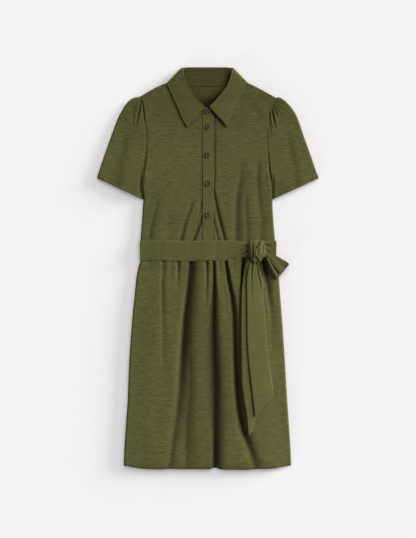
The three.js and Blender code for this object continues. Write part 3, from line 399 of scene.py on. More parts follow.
# The two faces of the dress, in mm above the surface below
def front_top(x, y, creased=True):
    """Height of the front's outer face."""
    x, y = np.asarray(x, float), np.asarray(y, float)
    v = uv(x, y)[1]
    near = edge_distance(x, y)
    room = np.interp(v, LOFT[:, 0], LOFT[:, 1]) * rounded(near, EDGE_REACH)
    if creased:
        cut = sum(down_fold(x, v, rows) for rows in [*DOWN_FOLDS.values(), *SOFT_FOLDS.values()])
        cut = cut + sum(free_fold(x, y, *fold) for fold in FREE_FOLDS.values())
        room = room - cut * rounded(near, 9) + 0.3 * front_waves(x, y) * rounded(near, 14)
        for seam in SEAMS:
            room = room - SEAM_DEPTH * bell(to_path(x, y, seam), SEAM_WIDE) * rounded(near, 6)
    room = room * (0.62 + 0.38 * rounded(np.maximum(y - xy(0, HEM_FLAT_V)[1], 0), HEM_FLAT_REACH))
    room = 0.5 * (room + np.sqrt(room ** 2 + 1.2))
    room = room * rounded(near, 3) * (1 - EDGE_THIN + EDGE_THIN * ease(near / EDGE_THIN_REACH))
    return raised(v) + HALF + HALF * rounded(near, 4) + room


BACK_FOLDS = {
    "back_centre": [(256, 208, 1.6, 5, 5), (300, 209, 1.4, 6, 6), (380, 211, 0.9, 8, 8),
        (430, 212, 0, 9, 9)],
    "back_right": [(256, 182, 1.5, 4, 5), (290, 180, 1.3, 5, 6), (350, 176, 0.8, 8, 8),
        (410, 172, 0, 9, 9)],
    "back_left": [(256, 236, 1.5, 5, 4), (290, 238, 1.3, 6, 5), (350, 242, 0.8, 8, 8), (400, 245, 0, 9, 9)],
    "back_short_a": [(256, 165, 1, 3, 3), (274, 164, 0, 4, 4)],
    "back_short_b": [(256, 196, 1.1, 3, 3), (280, 195, 0, 4, 4)],
    "back_short_c": [(256, 222, 1.1, 3, 3), (276, 223, 0, 4, 4)],
    "back_short_d": [(256, 253, 1, 3, 3), (278, 254, 0, 4, 4)],
    "back_bodice": [(150, 209, 0, 8, 8), (200, 208, 1, 9, 9), (246, 208, 1.4, 7, 7)],
    "back_bodice_r": [(190, 172, 0, 7, 7), (220, 172, 0.9, 8, 8), (246, 173, 1.3, 6, 6)],
    "back_bodice_l": [(185, 243, 0, 7, 7), (215, 243, 0.9, 8, 8), (246, 242, 1.3, 6, 6)],
}


def back_under(x, y):
    """Height of the back's outer face, which rests on the surface below."""
    v = uv(x, y)[1]
    near = edge_distance(x, y)
    lift = sum(np.maximum(down_fold(x, v, rows), 0) for rows in BACK_FOLDS.values())
    lift = lift + 0.12 * (1 + back_waves(x, y))
    return raised(v) + HALF * (1 - rounded(near, 6)) + np.clip(lift, 0, 2.2) * rounded(near, 20)


# Meshes
def new_object(name, verts, faces, material, replaces=()):
    """A smooth mesh on the root body, from points in mm."""
    mesh = bpy.data.meshes.new(name)
    mesh.from_pydata((np.asarray(verts) / 1000).tolist(), [], faces)
    mesh.polygons.foreach_set("use_smooth", [True] * len(mesh.polygons))
    mesh.materials.append(material)
    obj = bpy.data.objects.new(name, mesh)
    bpy.context.scene.collection.objects.link(obj)
    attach(obj, "root")
    if replaces:
        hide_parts(*replaces)
    return obj


def piece(name, grid, material, replaces, thick=CLOTH, ring=False, flip=False, offset=-1.0,
          shade=None):
    """A sheet of cloth from a grid of points in mm; shade darkens the bottoms of its folds."""
    rows, columns, _ = grid.shape
    index = np.arange(rows * columns).reshape(rows, columns)
    if ring:
        index = np.vstack([index, index[:1]])
    a, b, c, d = index[:-1, :-1], index[:-1, 1:], index[1:, 1:], index[1:, :-1]
    faces = np.stack([a, b, c, d] if flip else [a, d, c, b], -1).reshape(-1, 4)
    obj = new_object(name, grid.reshape(-1, 3), faces.tolist(), material, replaces)
    if shade is not None:
        layer = obj.data.attributes.new("shade", "FLOAT", "POINT")
        layer.data.foreach_set("value", np.clip(shade, 0, 1).astype(np.float32).ravel())
    layer = obj.data.attributes.new("cloth", "FLOAT_VECTOR", "POINT")
    run = np.stack([run_of(grid, 1), run_of(grid, 0), 0 * grid[..., 0]], -1) / 1000
    layer.data.foreach_set("vector", run.astype(np.float32).ravel())
    solid = obj.modifiers.new("thickness", "SOLIDIFY")
    solid.thickness = thick / 1000
    solid.offset = offset
    solid.use_even_offset = False


def grid_of(x, y, z):
    return np.stack([x, y, z], -1)


def patch(bottom, top, start, end, rows, columns):
    """A grid inside four edges, rows from bottom to top; the edges are lists of (u, v)."""
    t, s = np.linspace(0, 1, rows), np.linspace(0, 1, columns)
    b, u = share_path(bottom, s), share_path(top, s)
    l, r = share_path(start, t, True), share_path(end, t)
    tt, ss = t[:, None, None], s[None, :, None]
    corners = (1 - tt) * ((1 - ss) * b[0] + ss * b[-1]) + tt * ((1 - ss) * u[0] + ss * u[-1])
    plan = (1 - tt) * b[None] + tt * u[None] + (1 - ss) * l[:, None] + ss * r[:, None] - corners
    return xy(plan[..., 0], plan[..., 1])


# Materials
def new_material(name):
    material = bpy.data.materials.new(name)
    material.use_nodes = True
    tree = material.node_tree
    place = tree.nodes.new("ShaderNodeTexCoord").outputs["Object"]
    return material, tree, tree.nodes["Principled BSDF"], place


def plug(tree, value, socket):
    """Link a socket, or set it to a number or a colour."""
    if isinstance(value, bpy.types.NodeSocket):
        tree.links.new(value, socket)
    else:
        socket.default_value = value + (1,) if isinstance(value, tuple) else value


def set_inputs(node, values):
    for name, value in values.items():
        node.inputs[name].default_value = value


def math_node(tree, kind, *values):
    node = tree.nodes.new("ShaderNodeMath")
    node.operation = kind
    for socket, value in zip(node.inputs, values):
        plug(tree, value, socket)
    return node.outputs[0]


def noise(tree, vector, scale, detail, rough):
    node = tree.nodes.new("ShaderNodeTexNoise")
    set_inputs(node, {"Scale": scale, "Detail": detail, "Roughness": rough})
    tree.links.new(vector, node.inputs["Vector"])
    return node.outputs["Fac"]


def stretched(tree, vector, along, across, upright):
    """Coordinates squeezed so that a texture runs sideways, or down the dress when upright."""
    node = tree.nodes.new("ShaderNodeMapping")
    node.inputs["Scale"].default_value = (across, along, across) if upright else (along, across, across)
    tree.links.new(vector, node.inputs["Vector"])
    return node.outputs["Vector"]


def ramp(tree, value, low, high):
    node = tree.nodes.new("ShaderNodeMapRange")
    set_inputs(node, {"From Min": low, "From Max": high})
    tree.links.new(value, node.inputs["Value"])
    return node.outputs["Result"]


def mixed(tree, share, a, b):
    node = tree.nodes.new("ShaderNodeMix")
    node.data_type = "RGBA"
    for value, socket in ((share, node.inputs["Factor"]), (a, node.inputs[6]), (b, node.inputs[7])):
        plug(tree, value, socket)
    return node.outputs[2]


def attribute(tree, name, output):
    node = tree.nodes.new("ShaderNodeAttribute")
    node.attribute_name = name
    return node.outputs[output]


OLIVE = (0.0915, 0.0925, 0.0290)
OLIVE_CLOUDS = (0.083, 0.084, 0.0255), (0.100, 0.101, 0.0325)
SLUB_DARK, SLUB_LIGHT = (0.053, 0.053, 0.0155), (0.138, 0.140, 0.049)
KNIT_DARK, KNIT_LIGHT = (0.075, 0.076, 0.0230), (0.111, 0.113, 0.0365)


def jersey(name, upright, painted_light_tone, contrast=1.0, along_cloth=False):
    """Slub jersey: uneven thick threads run one way over a fine knit."""
    material, tree, shader, place = new_material(name)
    if along_cloth:
        place = attribute(tree, "cloth", "Vector")

    def tinted(colour, kept=contrast):
        return tuple(painted_light_tone * (mid + (c - mid) * kept) for c, mid in zip(colour, OLIVE))

    slub = noise(tree, stretched(tree, place, 58, 450, upright), 1, 4, 0.66)
    fine = noise(tree, stretched(tree, place, 150, 1150, upright), 1, 1, 0.5)
    base = mixed(tree, noise(tree, place, 22, 3, 0.6), *(tinted(cloud, 1) for cloud in OLIVE_CLOUDS))
    slubbed = mixed(tree, ramp(tree, slub, 0.34, 0.50), tinted(SLUB_DARK), base)
    slubbed = mixed(tree, ramp(tree, slub, 0.53, 0.70), slubbed, tinted(SLUB_LIGHT))
    knitted = mixed(tree, ramp(tree, fine, 0.35, 0.65), tinted(KNIT_DARK), tinted(KNIT_LIGHT))
    cloth = mixed(tree, 0.24, slubbed, knitted)
    # Painted shade: the colour is mixed toward black by the shade attribute.
    shaded = mixed(tree, attribute(tree, "shade", "Fac"), cloth, (0.0, 0.0, 0.0))
    tree.links.new(shaded, shader.inputs["Base Color"])
    set_inputs(shader, {"Roughness": 0.93, "Specular IOR Level": 0.08})
    set_inputs(shader, {"Sheen Weight": 0.05, "Sheen Roughness": 0.6})
    knit = tree.nodes.new("ShaderNodeTexWave")
    knit.bands_direction = "X"
    set_inputs(knit, {"Scale": 420, "Distortion": 1.5})
    tree.links.new(place, knit.inputs["Vector"])
    height = math_node(tree, "MULTIPLY_ADD", slub, 0.9, math_node(tree, "MULTIPLY", fine, 0.35))
    height = math_node(tree, "MULTIPLY_ADD", knit.outputs["Fac"], 0.12, height)
    bump = tree.nodes.new("ShaderNodeBump")
    set_inputs(bump, {"Strength": 0.55, "Distance": 0.0006})
    tree.links.new(height, bump.inputs["Height"])
    tree.links.new(bump.outputs["Normal"], shader.inputs["Normal"])
    return material


def horn():
    material, tree, shader, place = new_material("button_horn")
    cloud, fleck = noise(tree, place, 260, 4, 0.65), noise(tree, place, 620, 2, 0.5)
    base = mixed(tree, ramp(tree, cloud, 0.40, 0.62), (0.018, 0.015, 0.009), (0.072, 0.060, 0.030))
    colour = mixed(tree, ramp(tree, fleck, 0.58, 0.72), base, (0.25, 0.215, 0.115))
    tree.links.new(colour, shader.inputs["Base Color"])
    tree.links.new(math_node(tree, "MULTIPLY_ADD", cloud, 0.2, 0.28), shader.inputs["Roughness"])
    set_inputs(shader, {"Specular IOR Level": 0.25, "Coat Weight": 0.05, "Coat Roughness": 0.2})
    return material


def two_tone(name, grain, dark, light, rough):
    """A plain material that drifts between two near colours; grain is the noise's scale and detail."""
    material, tree, shader, place = new_material(name)
    tree.links.new(mixed(tree, noise(tree, place, *grain, 0.5), dark, light), shader.inputs["Base Color"])
    shader.inputs["Roughness"].default_value = rough
    return material


def thread(name, colour):
    return two_tone(name, (1800, 1), tuple(0.75 * c for c in colour), tuple(1.3 * c for c in colour), 0.7)


def floor_paper():
    material = two_tone("floor_paper", (3, 2), (0.905, 0.895, 0.90), (0.92, 0.91, 0.915), 0.9)
    material.node_tree.nodes["Principled BSDF"].inputs["Specular IOR Level"].default_value = 0.1
    return material


# Copies of one jersey colour, their tones painted light: the tails and the skirt painted lighter as though
# they caught more of the lamp, the collar a little darker.
BODY = jersey("olive_jersey", False, 1.05)
TRIM = jersey("olive_jersey_trim", False, 1.0, 0.6)
COLLAR = jersey("olive_jersey_collar", True, 0.98, 0.65, True)
BELT = jersey("olive_jersey_belt", True, 1.0, 0.4)
KNOT = jersey("olive_jersey_knot", False, 1.03, 0.6, True)
TAIL = jersey("olive_jersey_tail", False, 1.13, 0.6)
SKIRT = jersey("olive_jersey_skirt", False, 1.11)
HORN = horn()
THREAD = thread("olive_thread", (0.105, 0.105, 0.040))
DARK_THREAD = thread("dark_thread", (0.030, 0.026, 0.016))

# Skirt
SKIRT_TOP_V = 251.6
HEM_DROP = 3.9
HEM_RISES = ((1.6, 0.545, 0.026), (0.6, 0.285, 0.04), (0.5, 0.80, 0.05))  # how much, at which share, how wide
HEM_TURN, HEM_GROOVE = 8.0, 0.45
CUFF_TURN, CUFF_GROOVE = 7.0, 0.4


def skirt_grid(rows, columns, crowd_at):
    """Rows from the waist to the hem; columns drawn together where the folds are."""
    s = np.linspace(0, 1, 801)
    density = 0.6 + sum(2.2 * bell(s - at, 0.030) for at in crowd_at)
    density = density + 1.2 * (bell(s, 0.02) + bell(1 - s, 0.02))
    total = np.concatenate([[0], np.cumsum((density[1:] + density[:-1]) / 2)])
    s = np.interp(np.linspace(0, total[-1], columns), total, s)
    t = np.linspace(0, 1, rows)
    v = (SKIRT_TOP_V + (HEM_V - SKIRT_TOP_V) * t)[:, None] + 0 * s[None]
    u = side_u(v, 1) + (side_u(v, 2) - side_u(v, 1)) * s[None]
    across = np.abs(2 * s - 1)
    drop = HEM_DROP * (1 - across ** 5) + 0.35 * np.sin(9 * s + 1)
    drop = drop - sum(rise * bell(s - at, wide) for rise, at, wide in HEM_RISES)
    return xy(u, v + (drop * (1 - across ** 12))[None] * t[:, None] ** 6)


def hemmed(z, from_hem, turn, groove):
    """Heights with the groove of a stitched hem and a thinner edge."""
    return z - groove * bell(from_hem - turn, 1.1) - 0.4 * bell(from_hem, 1.4)


x, y = skirt_grid(188, 244, (0.16, 0.30, 0.36, 0.50, 0.545, 0.65, 0.70, 0.87))
front_skirt = grid_of(x, y, hemmed(front_top(x, y), y - y[-1:], HEM_TURN, HEM_GROOVE))
piece("front_skirt_cloth", front_skirt, SKIRT, ["front_skirt"], shade=fold_shade(x, y))

x, y = skirt_grid(120, 110, (0.3, 0.5, 0.7))
y = y + 0.6
piece("back_skirt_cloth", grid_of(x, y, back_under(x, y)), BODY, ["back_skirt"], flip=True)

# Bodice
SIDE_R = [(141, 251), (140.6, 238), (140.9, 233), (142, 219), (142.8, 206), (143.4, 199.4)]
SIDE_L = [(275.6, 251), (274.9, 238), (274.5, 233), (273.4, 219), (272.6, 206), (272.6, 199.4)]


def bodice_front(name, side, armhole, shoulder, neck, placket_u, flip):
    x, y = patch([side[0], (placket_u, WAIST_V)], shoulder[::-1] + neck, side + armhole,
                 [(placket_u, WAIST_V), (placket_u, neck[-1][1])], 170, 130)
    from_placket = np.abs(uv(x, y)[0] - placket_u) * SQUARE
    z = front_top(x, y) - 0.3 * bell(from_placket, 1.4)
    piece(name + "_cloth", grid_of(x, y, z), BODY, [name], flip=flip, shade=fold_shade(x, y))


bodice_front("front_bodice_right", SIDE_R, ARMHOLE_R, SHOULDER_R, NECK_R, PLACKET_U[0] - 0.1, True)
bodice_front("front_bodice_left", SIDE_L, ARMHOLE_L, SHOULDER_L, NECK_L, PLACKET_U[1] + 0.1, False)

x, y = patch([(142, WAIST_V), (274.8, WAIST_V)], SHOULDER_R[::-1] + NECK_BACK + SHOULDER_L,
             SIDE_R + ARMHOLE_R, SIDE_L + ARMHOLE_L, 110, 120)
u, v = uv(x, y)
# Painted shade inside the neck opening, darker lower down and to the wearer's left, fading out below the
# opening.
painted_neck_shade = (0.44 + 0.42 * ease((v - 92 + 0.35 * (u - 207)) / 12)) * ease((118 - v) / 8)
piece("back_bodice_cloth", grid_of(x, y, back_under(x, y)), BODY, ["back_bodice"], shade=painted_neck_shade)


# Sleeves
def sleeve(name, armhole, outer, cuff, flip):
    seam = armhole[::-1]
    x, y = patch(seam, cuff, [seam[0]] + outer, [seam[-1], cuff[1]], 84, 96)
    from_hem = np.hypot(x - x[-1:], y - y[-1:])
    top = hemmed(front_top(x, y), from_hem, CUFF_TURN, CUFF_GROOVE)
    beside_body = np.linspace(0, 1, x.shape[1]) > 0.985
    top = np.where(beside_body[None], top - 1.0, top)
    over, below = grid_of(x, y, top), grid_of(x, y, back_under(x, y))
    ring = np.concatenate([over, below[:, :0:-1]], 1)
    # Painted shade at the sleeve's folds, on its upper layer only.
    held = fold_shade(x, y)
    held = np.concatenate([held, 0 * held[:, :0:-1]], 1)
    piece(name + "_cloth", ring.transpose(1, 0, 2), BODY, [name], ring=True, flip=flip, shade=held.T)
    return over


over_right = sleeve("sleeve_right", ARMHOLE_R, SLEEVE_R, [(97, 177.7), (143.3, 199.4)], True)
over_left = sleeve("sleeve_left", ARMHOLE_L, SLEEVE_L, [(319, 177.9), (272.5, 199.4)], False)

# Placket
PLACKET_TOP_V, PLACKET_END_V = 107.2, 250
PLACKET_STITCH = 3.4
# Painted shadow along the front edge of the collar leaf on the wearer's left.
LEAF_SHADOW = path_mm([(207, 107), (209.4, 110), (217, 117.6)])


def placket_top(x, y):
    u = uv(x, y)[0]
    edge = np.minimum(u - PLACKET_U[0], PLACKET_U[1] - u) * SQUARE
    flat = front_top(0 * x + 0.3, y, creased=False)
    return flat + 0.45 + 0.6 * rounded(edge, 1.6) + 0.25 * front_waves(x * 0.5, y) * rounded(edge, 8)


# Painted shade on the placket: the collar leaf's painted shadow and the upper bodice's painted dimming.
def placket_shade(x, y):
    return 1 - painted_upper_dimming(uv(x, y)[1]) * (1 - 0.72 * bell(to_path(x, y, LEAF_SHADOW), 3))


def placket_grid(rows, columns, top_v):
    s, v = np.linspace(0, 1, columns), np.linspace(top_v, PLACKET_END_V, rows)
    u = PLACKET_U[0] + (PLACKET_U[1] - PLACKET_U[0]) * s[None] + 0.18 * np.sin(v / 13)[:, None]
    return xy(u, v[:, None] + 0 * s[None])


x, y = placket_grid(230, 30, PLACKET_TOP_V)
edge = np.minimum(x - x[:, :1], x[:, -1:] - x)
placket = grid_of(x, y, placket_top(x, y) - 0.32 * bell(edge - PLACKET_STITCH, 0.8))
piece("placket_cloth", placket, TRIM, ["placket_strip"], shade=placket_shade(x, y))
x, y = placket_grid(110, 12, PLACKET_TOP_V + 0.2)
piece("button_stand_cloth", grid_of(x, y, placket_top(x, y) - LAYER), TRIM, ["button_stand"])

# Collar. Stations round the neck: roll and edge in mm, then turn (0 on the front, 1 beneath the back)
# and, for the fall, lift.
FALL = np.array([
    (-8.5, 402.5, -52.5, 351.8, 0, 1.0), (-21.7, 413, -65, 375, 0, 0.8), (-41.2, 434.5, -79, 407.5, 0, 0.7),
    (-52.7, 453.5, -91.5, 435.5, 0, 0.6), (-61, 476, -99.5, 452.5, 0, 0.4),
    (-64.2, 491, -103.5, 459, 0.12, 0.4), (-66.6, 500.2, -104.5, 462.5, 0.5, 0.4),
    (-64.4, 502, -101.5, 461.5, 0.94, 0.2), (-52.5, 501.8, -86.2, 455, 1, 0),
    (-27.5, 501.1, -45, 453.5, 1, 0), (-1.2, 500.9, -1.2, 453, 1, 0), (25, 501.1, 42.5, 453.5, 1, 0),
    (50, 501.8, 82.5, 455, 1, 0), (61, 502, 96.5, 463, 0.94, 0.2), (63.4, 500.2, 100, 464, 0.5, 0.4),
    (61, 491, 99, 460.5, 0.12, 0.6), (57.5, 476, 92, 451, 0, 0.8), (47.5, 453.5, 83, 433.5, 0, 1.2),
    (33.8, 434.5, 71.5, 409.5, 0, 1.8), (18, 416, 59, 381, 0, 2.8), (4, 403.5, 47.3, 355.5, 0, 3.6)])
STAND = np.array([
    (-15, 409, -15.5, 392, 0), (-27.5, 419, -37.5, 398.5, 0), (-40.8, 435, -61.5, 419.5, 0),
    (-52.3, 453.5, -77.5, 446.5, 0), (-60, 475, -82.5, 467, 0), (-61.5, 487.5, -83.5, 471, 0.12),
    (-62.5, 494, -83.5, 473, 0.5), (-59, 498.5, -79, 468.5, 0.88), (-50, 501.5, -70, 461, 1),
    (-40, 502, -52.5, 455.7, 1), (-2.5, 502, -2.5, 454.5, 1), (37.5, 502, 45, 455.7, 1),
    (48.5, 501.5, 65, 461, 1), (56, 498.5, 78.5, 469.5, 0.88), (59.5, 494, 82, 473.5, 0.5),
    (58, 487.5, 82, 471.5, 0.12), (56.5, 475, 80.5, 467.5, 0), (47, 453.5, 75.5, 446.5, 0),
    (33.3, 435, 60, 419.5, 0), (22.5, 422.5, 37.5, 402, 0), (15.8, 413.5, 15.8, 393, 0)])
COLLAR_STITCH = 6.0


def collar_piece():
    fall, stand = by_station(FALL, 360), by_station(STAND, 360)
    under_fall, under_stand = ((1 - np.cos(np.pi * np.clip(t[:, 4:5], 0, 1))) / 2 for t in (fall, stand))

    k = np.linspace(0, 1, 18)[None]
    sx = stand[:, 2:3] + (stand[:, 0:1] - stand[:, 2:3]) * k
    sy = stand[:, 3:4] + (stand[:, 1:2] - stand[:, 3:4]) * k
    on_front = front_top(sx, sy, creased=False) + 0.9 + 1.4 * k ** 2
    on_back = 2.45 + 1.9 * k ** 2 + 0.16 * np.sin(sy * 0.52) * ease(k / 0.25)
    sz = on_front * (1 - under_stand) + on_back * under_stand

    m = np.linspace(0, 1, 26)[None]
    fx = fall[:, 0:1] + (fall[:, 2:3] - fall[:, 0:1]) * m
    fy = fall[:, 1:2] + (fall[:, 3:4] - fall[:, 1:2]) * m
    deep = np.linalg.norm(fall[:, :2] - fall[:, 2:4], axis=1)[:, None]
    arch = 2.6 * (1 - m) ** 1.5 + 0.8 * np.sin(np.pi * m) + fall[:, 5:6] * (0.4 + 0.6 * m)
    groove = bell((1 - m) * deep - COLLAR_STITCH, 0.9)
    fz = (front_top(fx, fy, creased=False) + 1.9 + arch - 0.35 * groove) * (1 - under_fall) + 0.75 * under_fall

    angle = np.linspace(0, np.pi, 9)[None, 1:-1]
    share, bulge = (1 - np.cos(angle)) / 2, np.sin(angle)
    turn_out = (fall[:, :2] - fall[:, 2:4]) / deep
    rx = sx[:, -1:] + (fx[:, :1] - sx[:, -1:]) * share + turn_out[:, :1] * 1.5 * bulge
    ry = sy[:, -1:] + (fy[:, :1] - sy[:, -1:]) * share + turn_out[:, 1:] * 1.5 * bulge
    rz = sz[:, -1:] + (fz[:, :1] - sz[:, -1:]) * share + 1.1 * bulge * (1 - under_fall)
    # Painted shade: the stand inside the neck darker, most to the wearer's left; the roll darker towards the
    # stand; the fall a little darker, more on the wearer's right.
    inside = 0.40 + 0.22 * ease((sx - 30) / 28) + 0.08 * ease((-48 - sx) / 12)
    held = np.concatenate([inside, 0.10 + 0.24 * (1 - share) ** 1.5 + 0 * rx, 0.11 + 0.02 * (fx < 0)], 1)
    fall_grid = grid_of(fx, fy, fz)
    grid = np.concatenate([grid_of(sx, sy, sz), grid_of(rx, ry, rz), fall_grid], 1)
    piece("collar_cloth", grid, COLLAR, ["collar_stand", "collar_fall"], thick=DOUBLED, offset=0, shade=held)
    return fall_grid


fall_grid = collar_piece()

# Belt. Stations in mm: x, then the y of the top and the bottom edge.
STATIONS = np.array([(-165, 69.5, 18.5), (-145, 69.5, 18.5), (-82.5, 69, 17.7), (-7.5, 69.5, 17.7),
    (42.5, 69.5, 19.5), (75, 69, 23), (97.5, 66, 28.5), (122.5, 65, 30), (147.5, 68.5, 27.5),
    (166, 69, 21)])
BELT_ENDS = (-168.4, 169.4)
BELT_TURN, BELT_FLOOR = 1.8, 0.4
BELT_CREASES = [  # points of u, v, depth in mm, then width in mm
    ([(232, 257.4, 0), (240, 255.6, 1.8), (245, 253, 3.2), (249, 250.6, 3.6)], 1.6),
    ([(236, 252, 0), (242.6, 249.6, 2), (246, 246.4, 3.4), (249.4, 243, 3.6)], 1.9),
    ([(226, 249, 0), (236, 248.4, 0.8), (243, 246.4, 0.8), (247, 243.6, 0)], 2.4),
    ([(222, 258.6, 0), (234, 259, 0.9), (243, 257.4, 1.2), (248, 255.4, 1.6)], 2.0),
    ([(264.6, 245.2, 4), (267.2, 245.4, 3.6), (269.4, 246.2, 1.4), (272, 247, 0)], 2.0),
    ([(264.6, 251, 4), (266.8, 251.2, 3.8), (268.6, 252, 1.6), (271, 253, 0)], 2.0),
]
# Shallow dips down the belt: x, depth and width in mm
BELT_DIPS = ((-118, 0.4, 7), (-88, 0.5, 6), (-44, 0.5, 6), (18, 0.6, 6), (46, 0.6, 6), (-150, 0.3, 7))
belt_waves = Waves(8, 22, 30, 120, 1.2)


def waist_height(x):
    x = np.clip(x, -158, 160)
    return front_top(x, xy(0, WAIST_V)[1] + 0 * x, creased=False)


def belt_surface(x, top, bottom, share):
    y = top + (bottom - top) * share
    edge = np.minimum(share, 1 - share) * (top - bottom)
    z = waist_height(x) + 0.5 + 1.1 * rounded(edge, 5) + 0.8 * np.exp(-(x / 16) ** 4)
    z = z + 0.3 * belt_waves(x, y) * rounded(edge, 12)
    for at, depth, wide in BELT_DIPS:
        lean = at + 4 * np.sin(at) * (share - 0.5)
        z = z - depth * bell(x - lean, wide) * (0.35 + 0.65 * np.abs(2 * share - 1) ** 1.5)
    cuts = [free_fold(x, y, *crease) for crease in BELT_CREASES]
    # Painted shade in the belt's creases.
    return y, z - sum(cuts), painted_crease_shade(cuts, 0.62, 3.4)


def belt_end(last, edge, inwards):
    """The turn of the belt round the dress's side, from the front's last row down to the back."""
    rows = []
    for w in np.linspace(0, 1, 11)[::-inwards]:
        height = BELT_FLOOR + (last[:, 2] - BELT_FLOOR) * (1 - ease(w))
        bulge = np.sin(np.pi * w) ** 0.7
        rows.append(grid_of(edge + inwards * BELT_TURN * (1 - bulge) + 0 * height, last[:, 1], height))
    return np.stack(rows)


def belt_ring():
    share = np.linspace(0, 1, 34)[None]
    x = np.linspace(*BELT_ENDS, 264)[:, None]
    top, bottom = (np.interp(x, STATIONS[:, 0], STATIONS[:, k]) for k in (1, 2))
    top, bottom = top + 0.5 * np.sin(x / 21), bottom + 0.6 * np.sin(x / 17 + 2)
    xx = x + 0 * share
    y, z, held = belt_surface(xx, top, bottom, share)
    over = grid_of(xx, y, z)
    bx = (-170 + 340 * np.linspace(0.97, 0.03, 30))[:, None] + 0 * share
    back = grid_of(bx, 69.4 - 51 * share + 0 * bx, BELT_FLOOR + 0 * bx)
    ends = [belt_end(over[-1], BELT_ENDS[1] + BELT_TURN, -1), belt_end(over[0], BELT_ENDS[0] - BELT_TURN, 1)]
    ring = np.concatenate([over, ends[0], back, ends[1]])
    # Painted shade on the belt's front only.
    held = np.concatenate([held, np.zeros((len(ring) - len(held), held.shape[1]))])
    piece("belt_band_cloth", ring, BELT, ["belt_band"], ring=True, thick=DOUBLED, flip=True,
          shade=held)


belt_ring()

# Knot
KNOT_CREASES = [  # points of u, v, depth in mm, then width in mm; a negative depth is a ridge
    ([(252.4, 242.6, 2.4), (252.7, 247, 5), (252.9, 253, 5.2), (252.6, 257.6, 3.6)], 1.35),
    ([(260.2, 240.6, 4.6), (258.6, 243.8, 5.2), (256.4, 247, 4.4), (254.6, 250.2, 1.2)], 1.5),
    ([(264.4, 241.4, 2.2), (263.2, 245.6, 2.6), (262.4, 250.6, 1.6), (262.2, 255, 0)], 1.6),
    ([(247.4, 256.4, 3.6), (250.4, 259, 4.6), (253, 262, 4.4), (254.4, 265, 3.6)], 1.5),
    ([(254.4, 255.6, 1), (256.2, 258, 3.6), (258.4, 261.4, 4.4), (259.4, 264.6, 3.6)], 1.5),
    ([(259.6, 254.6, 0), (262, 257.6, 2), (264.4, 260.6, 2.6)], 1.6),
    ([(250.4, 243, -1), (250.3, 250, -1.6), (250, 256, -1)], 2.4),
    ([(255.4, 250, -0.8), (255.6, 254, -1.6), (256.6, 257, -1)], 2.4),
    ([(260.8, 243, -1), (259.8, 249, -1.8), (259.4, 254, -1)], 3.2),
    ([(251.4, 258.4, -1), (254.4, 261.6, -1.4)], 1.9),
]
KNOT_BOTTOM = ([0, 0.10, 0.26, 0.34, 0.47, 0.60, 0.68, 0.80, 1],
               [255.8, 258.2, 262.4, 263.4, 261.6, 262.8, 262.2, 259.4, 255])  # shares across, then v
KNOT_BASE, KNOT_RISE = 15.4, 12.6


def knot():
    s, t = np.linspace(0, 1, 84)[:, None], np.linspace(0, 1, 72)[None]
    right = 248.3 - 0.25 * np.sin(np.pi * t) + 0.7 * (2 * np.abs(t - 0.5)) ** 6
    left = 266 - 0.7 * np.sin(2 * np.pi * t) - 1.0 * (2 * np.abs(t - 0.5)) ** 5
    across = np.abs(2 * s - 1)
    top = 240.3 + 0.28 * np.cos(7 * s) + 0.9 * across ** 8
    x, y = xy(right + (left - right) * s, top + (np.interp(s, *KNOT_BOTTOM) - top) * t)
    arch = np.sin(np.pi * (0.05 + 0.90 * t)) ** 0.62
    side = np.sqrt(np.clip(1 - across ** 2.8, 0, 1))
    swell = KNOT_RISE * arch * (0.30 + 0.70 * side) * (0.25 + 0.75 * side)
    cuts = [free_fold(x, y, *crease) for crease in KNOT_CREASES]
    base = KNOT_BASE + 3.2 * t ** 2
    z = base + swell - sum(cuts) * (0.35 + 0.65 * side) * arch ** 0.5
    # Painted shade in the knot's creases and along its sides.
    held = np.maximum(painted_crease_shade(cuts, 0.66, 4.4), 0.45 * ease((across - 0.86) / 0.14))
    piece("belt_knot_cloth", grid_of(x, y, np.maximum(z, base - 1.8)), KNOT, ["belt_knot"], thick=1.0,
          flip=True, shade=held)


knot()

# Bow loop
LOOP = np.array([  # near edge x and y, far edge x and y, then height, all in mm
    (146.5, 24.5, 149, 34, 20.5), (151.5, 13, 160, 27.5, 20), (158.5, -2.5, 172, 15.5, 18.6),
    (166.4, -18, 188, 1.6, 16.6), (171.4, -25.4, 199.6, 7.4, 13.4), (172.2, -24.8, 201.6, 12.4, 10.4),
    (167.8, -13.4, 195.6, 17.6, 9.0), (160.5, 0, 184, 24, 9.4), (154, 13.5, 170.5, 31, 11.4),
    (147.5, 24.5, 152, 34, 14)])


def bow_loop():
    rows = by_station(LOOP, 130)
    share, along = np.linspace(0, 1, 34)[None], np.linspace(0, 1, 130)[:, None]
    x = rows[:, 0:1] + (rows[:, 2:3] - rows[:, 0:1]) * share
    y = rows[:, 1:2] + (rows[:, 3:4] - rows[:, 1:2]) * share
    hollow = ease((along - 0.03) / 0.12) * ease((0.42 - along) / 0.10)
    z = rows[:, 4:5] + (1.6 * bell(share - 0.14, 0.13) - 4.6 * bell(share - 0.34, 0.075)) * hollow
    z = z - 1.4 * bell(share - 0.62, 0.10) * ease((0.30 - along) / 0.2)
    z = z + 1.2 * bell(share - 0.72, 0.24) * ease((0.52 - along) / 0.08)
    floor = np.where(x < 168, front_top(np.minimum(x, 168), y, creased=False) * 0.72 + 0.9, 0.6)
    # Painted shade in the loop's hollow and along its crease.
    held = 0.80 * bell(share - 0.36, 0.10) * hollow * (0.55 + 0.45 * bell(along - 0.3, 0.14))
    held = np.maximum(held, 0.3 * bell(share - 0.62, 0.06) * ease((0.26 - along) / 0.2))
    piece("belt_loop_cloth", grid_of(x, y, np.maximum(z, floor)), KNOT, ["belt_loop"], thick=DOUBLED,
          flip=True, shade=held)


bow_loop()

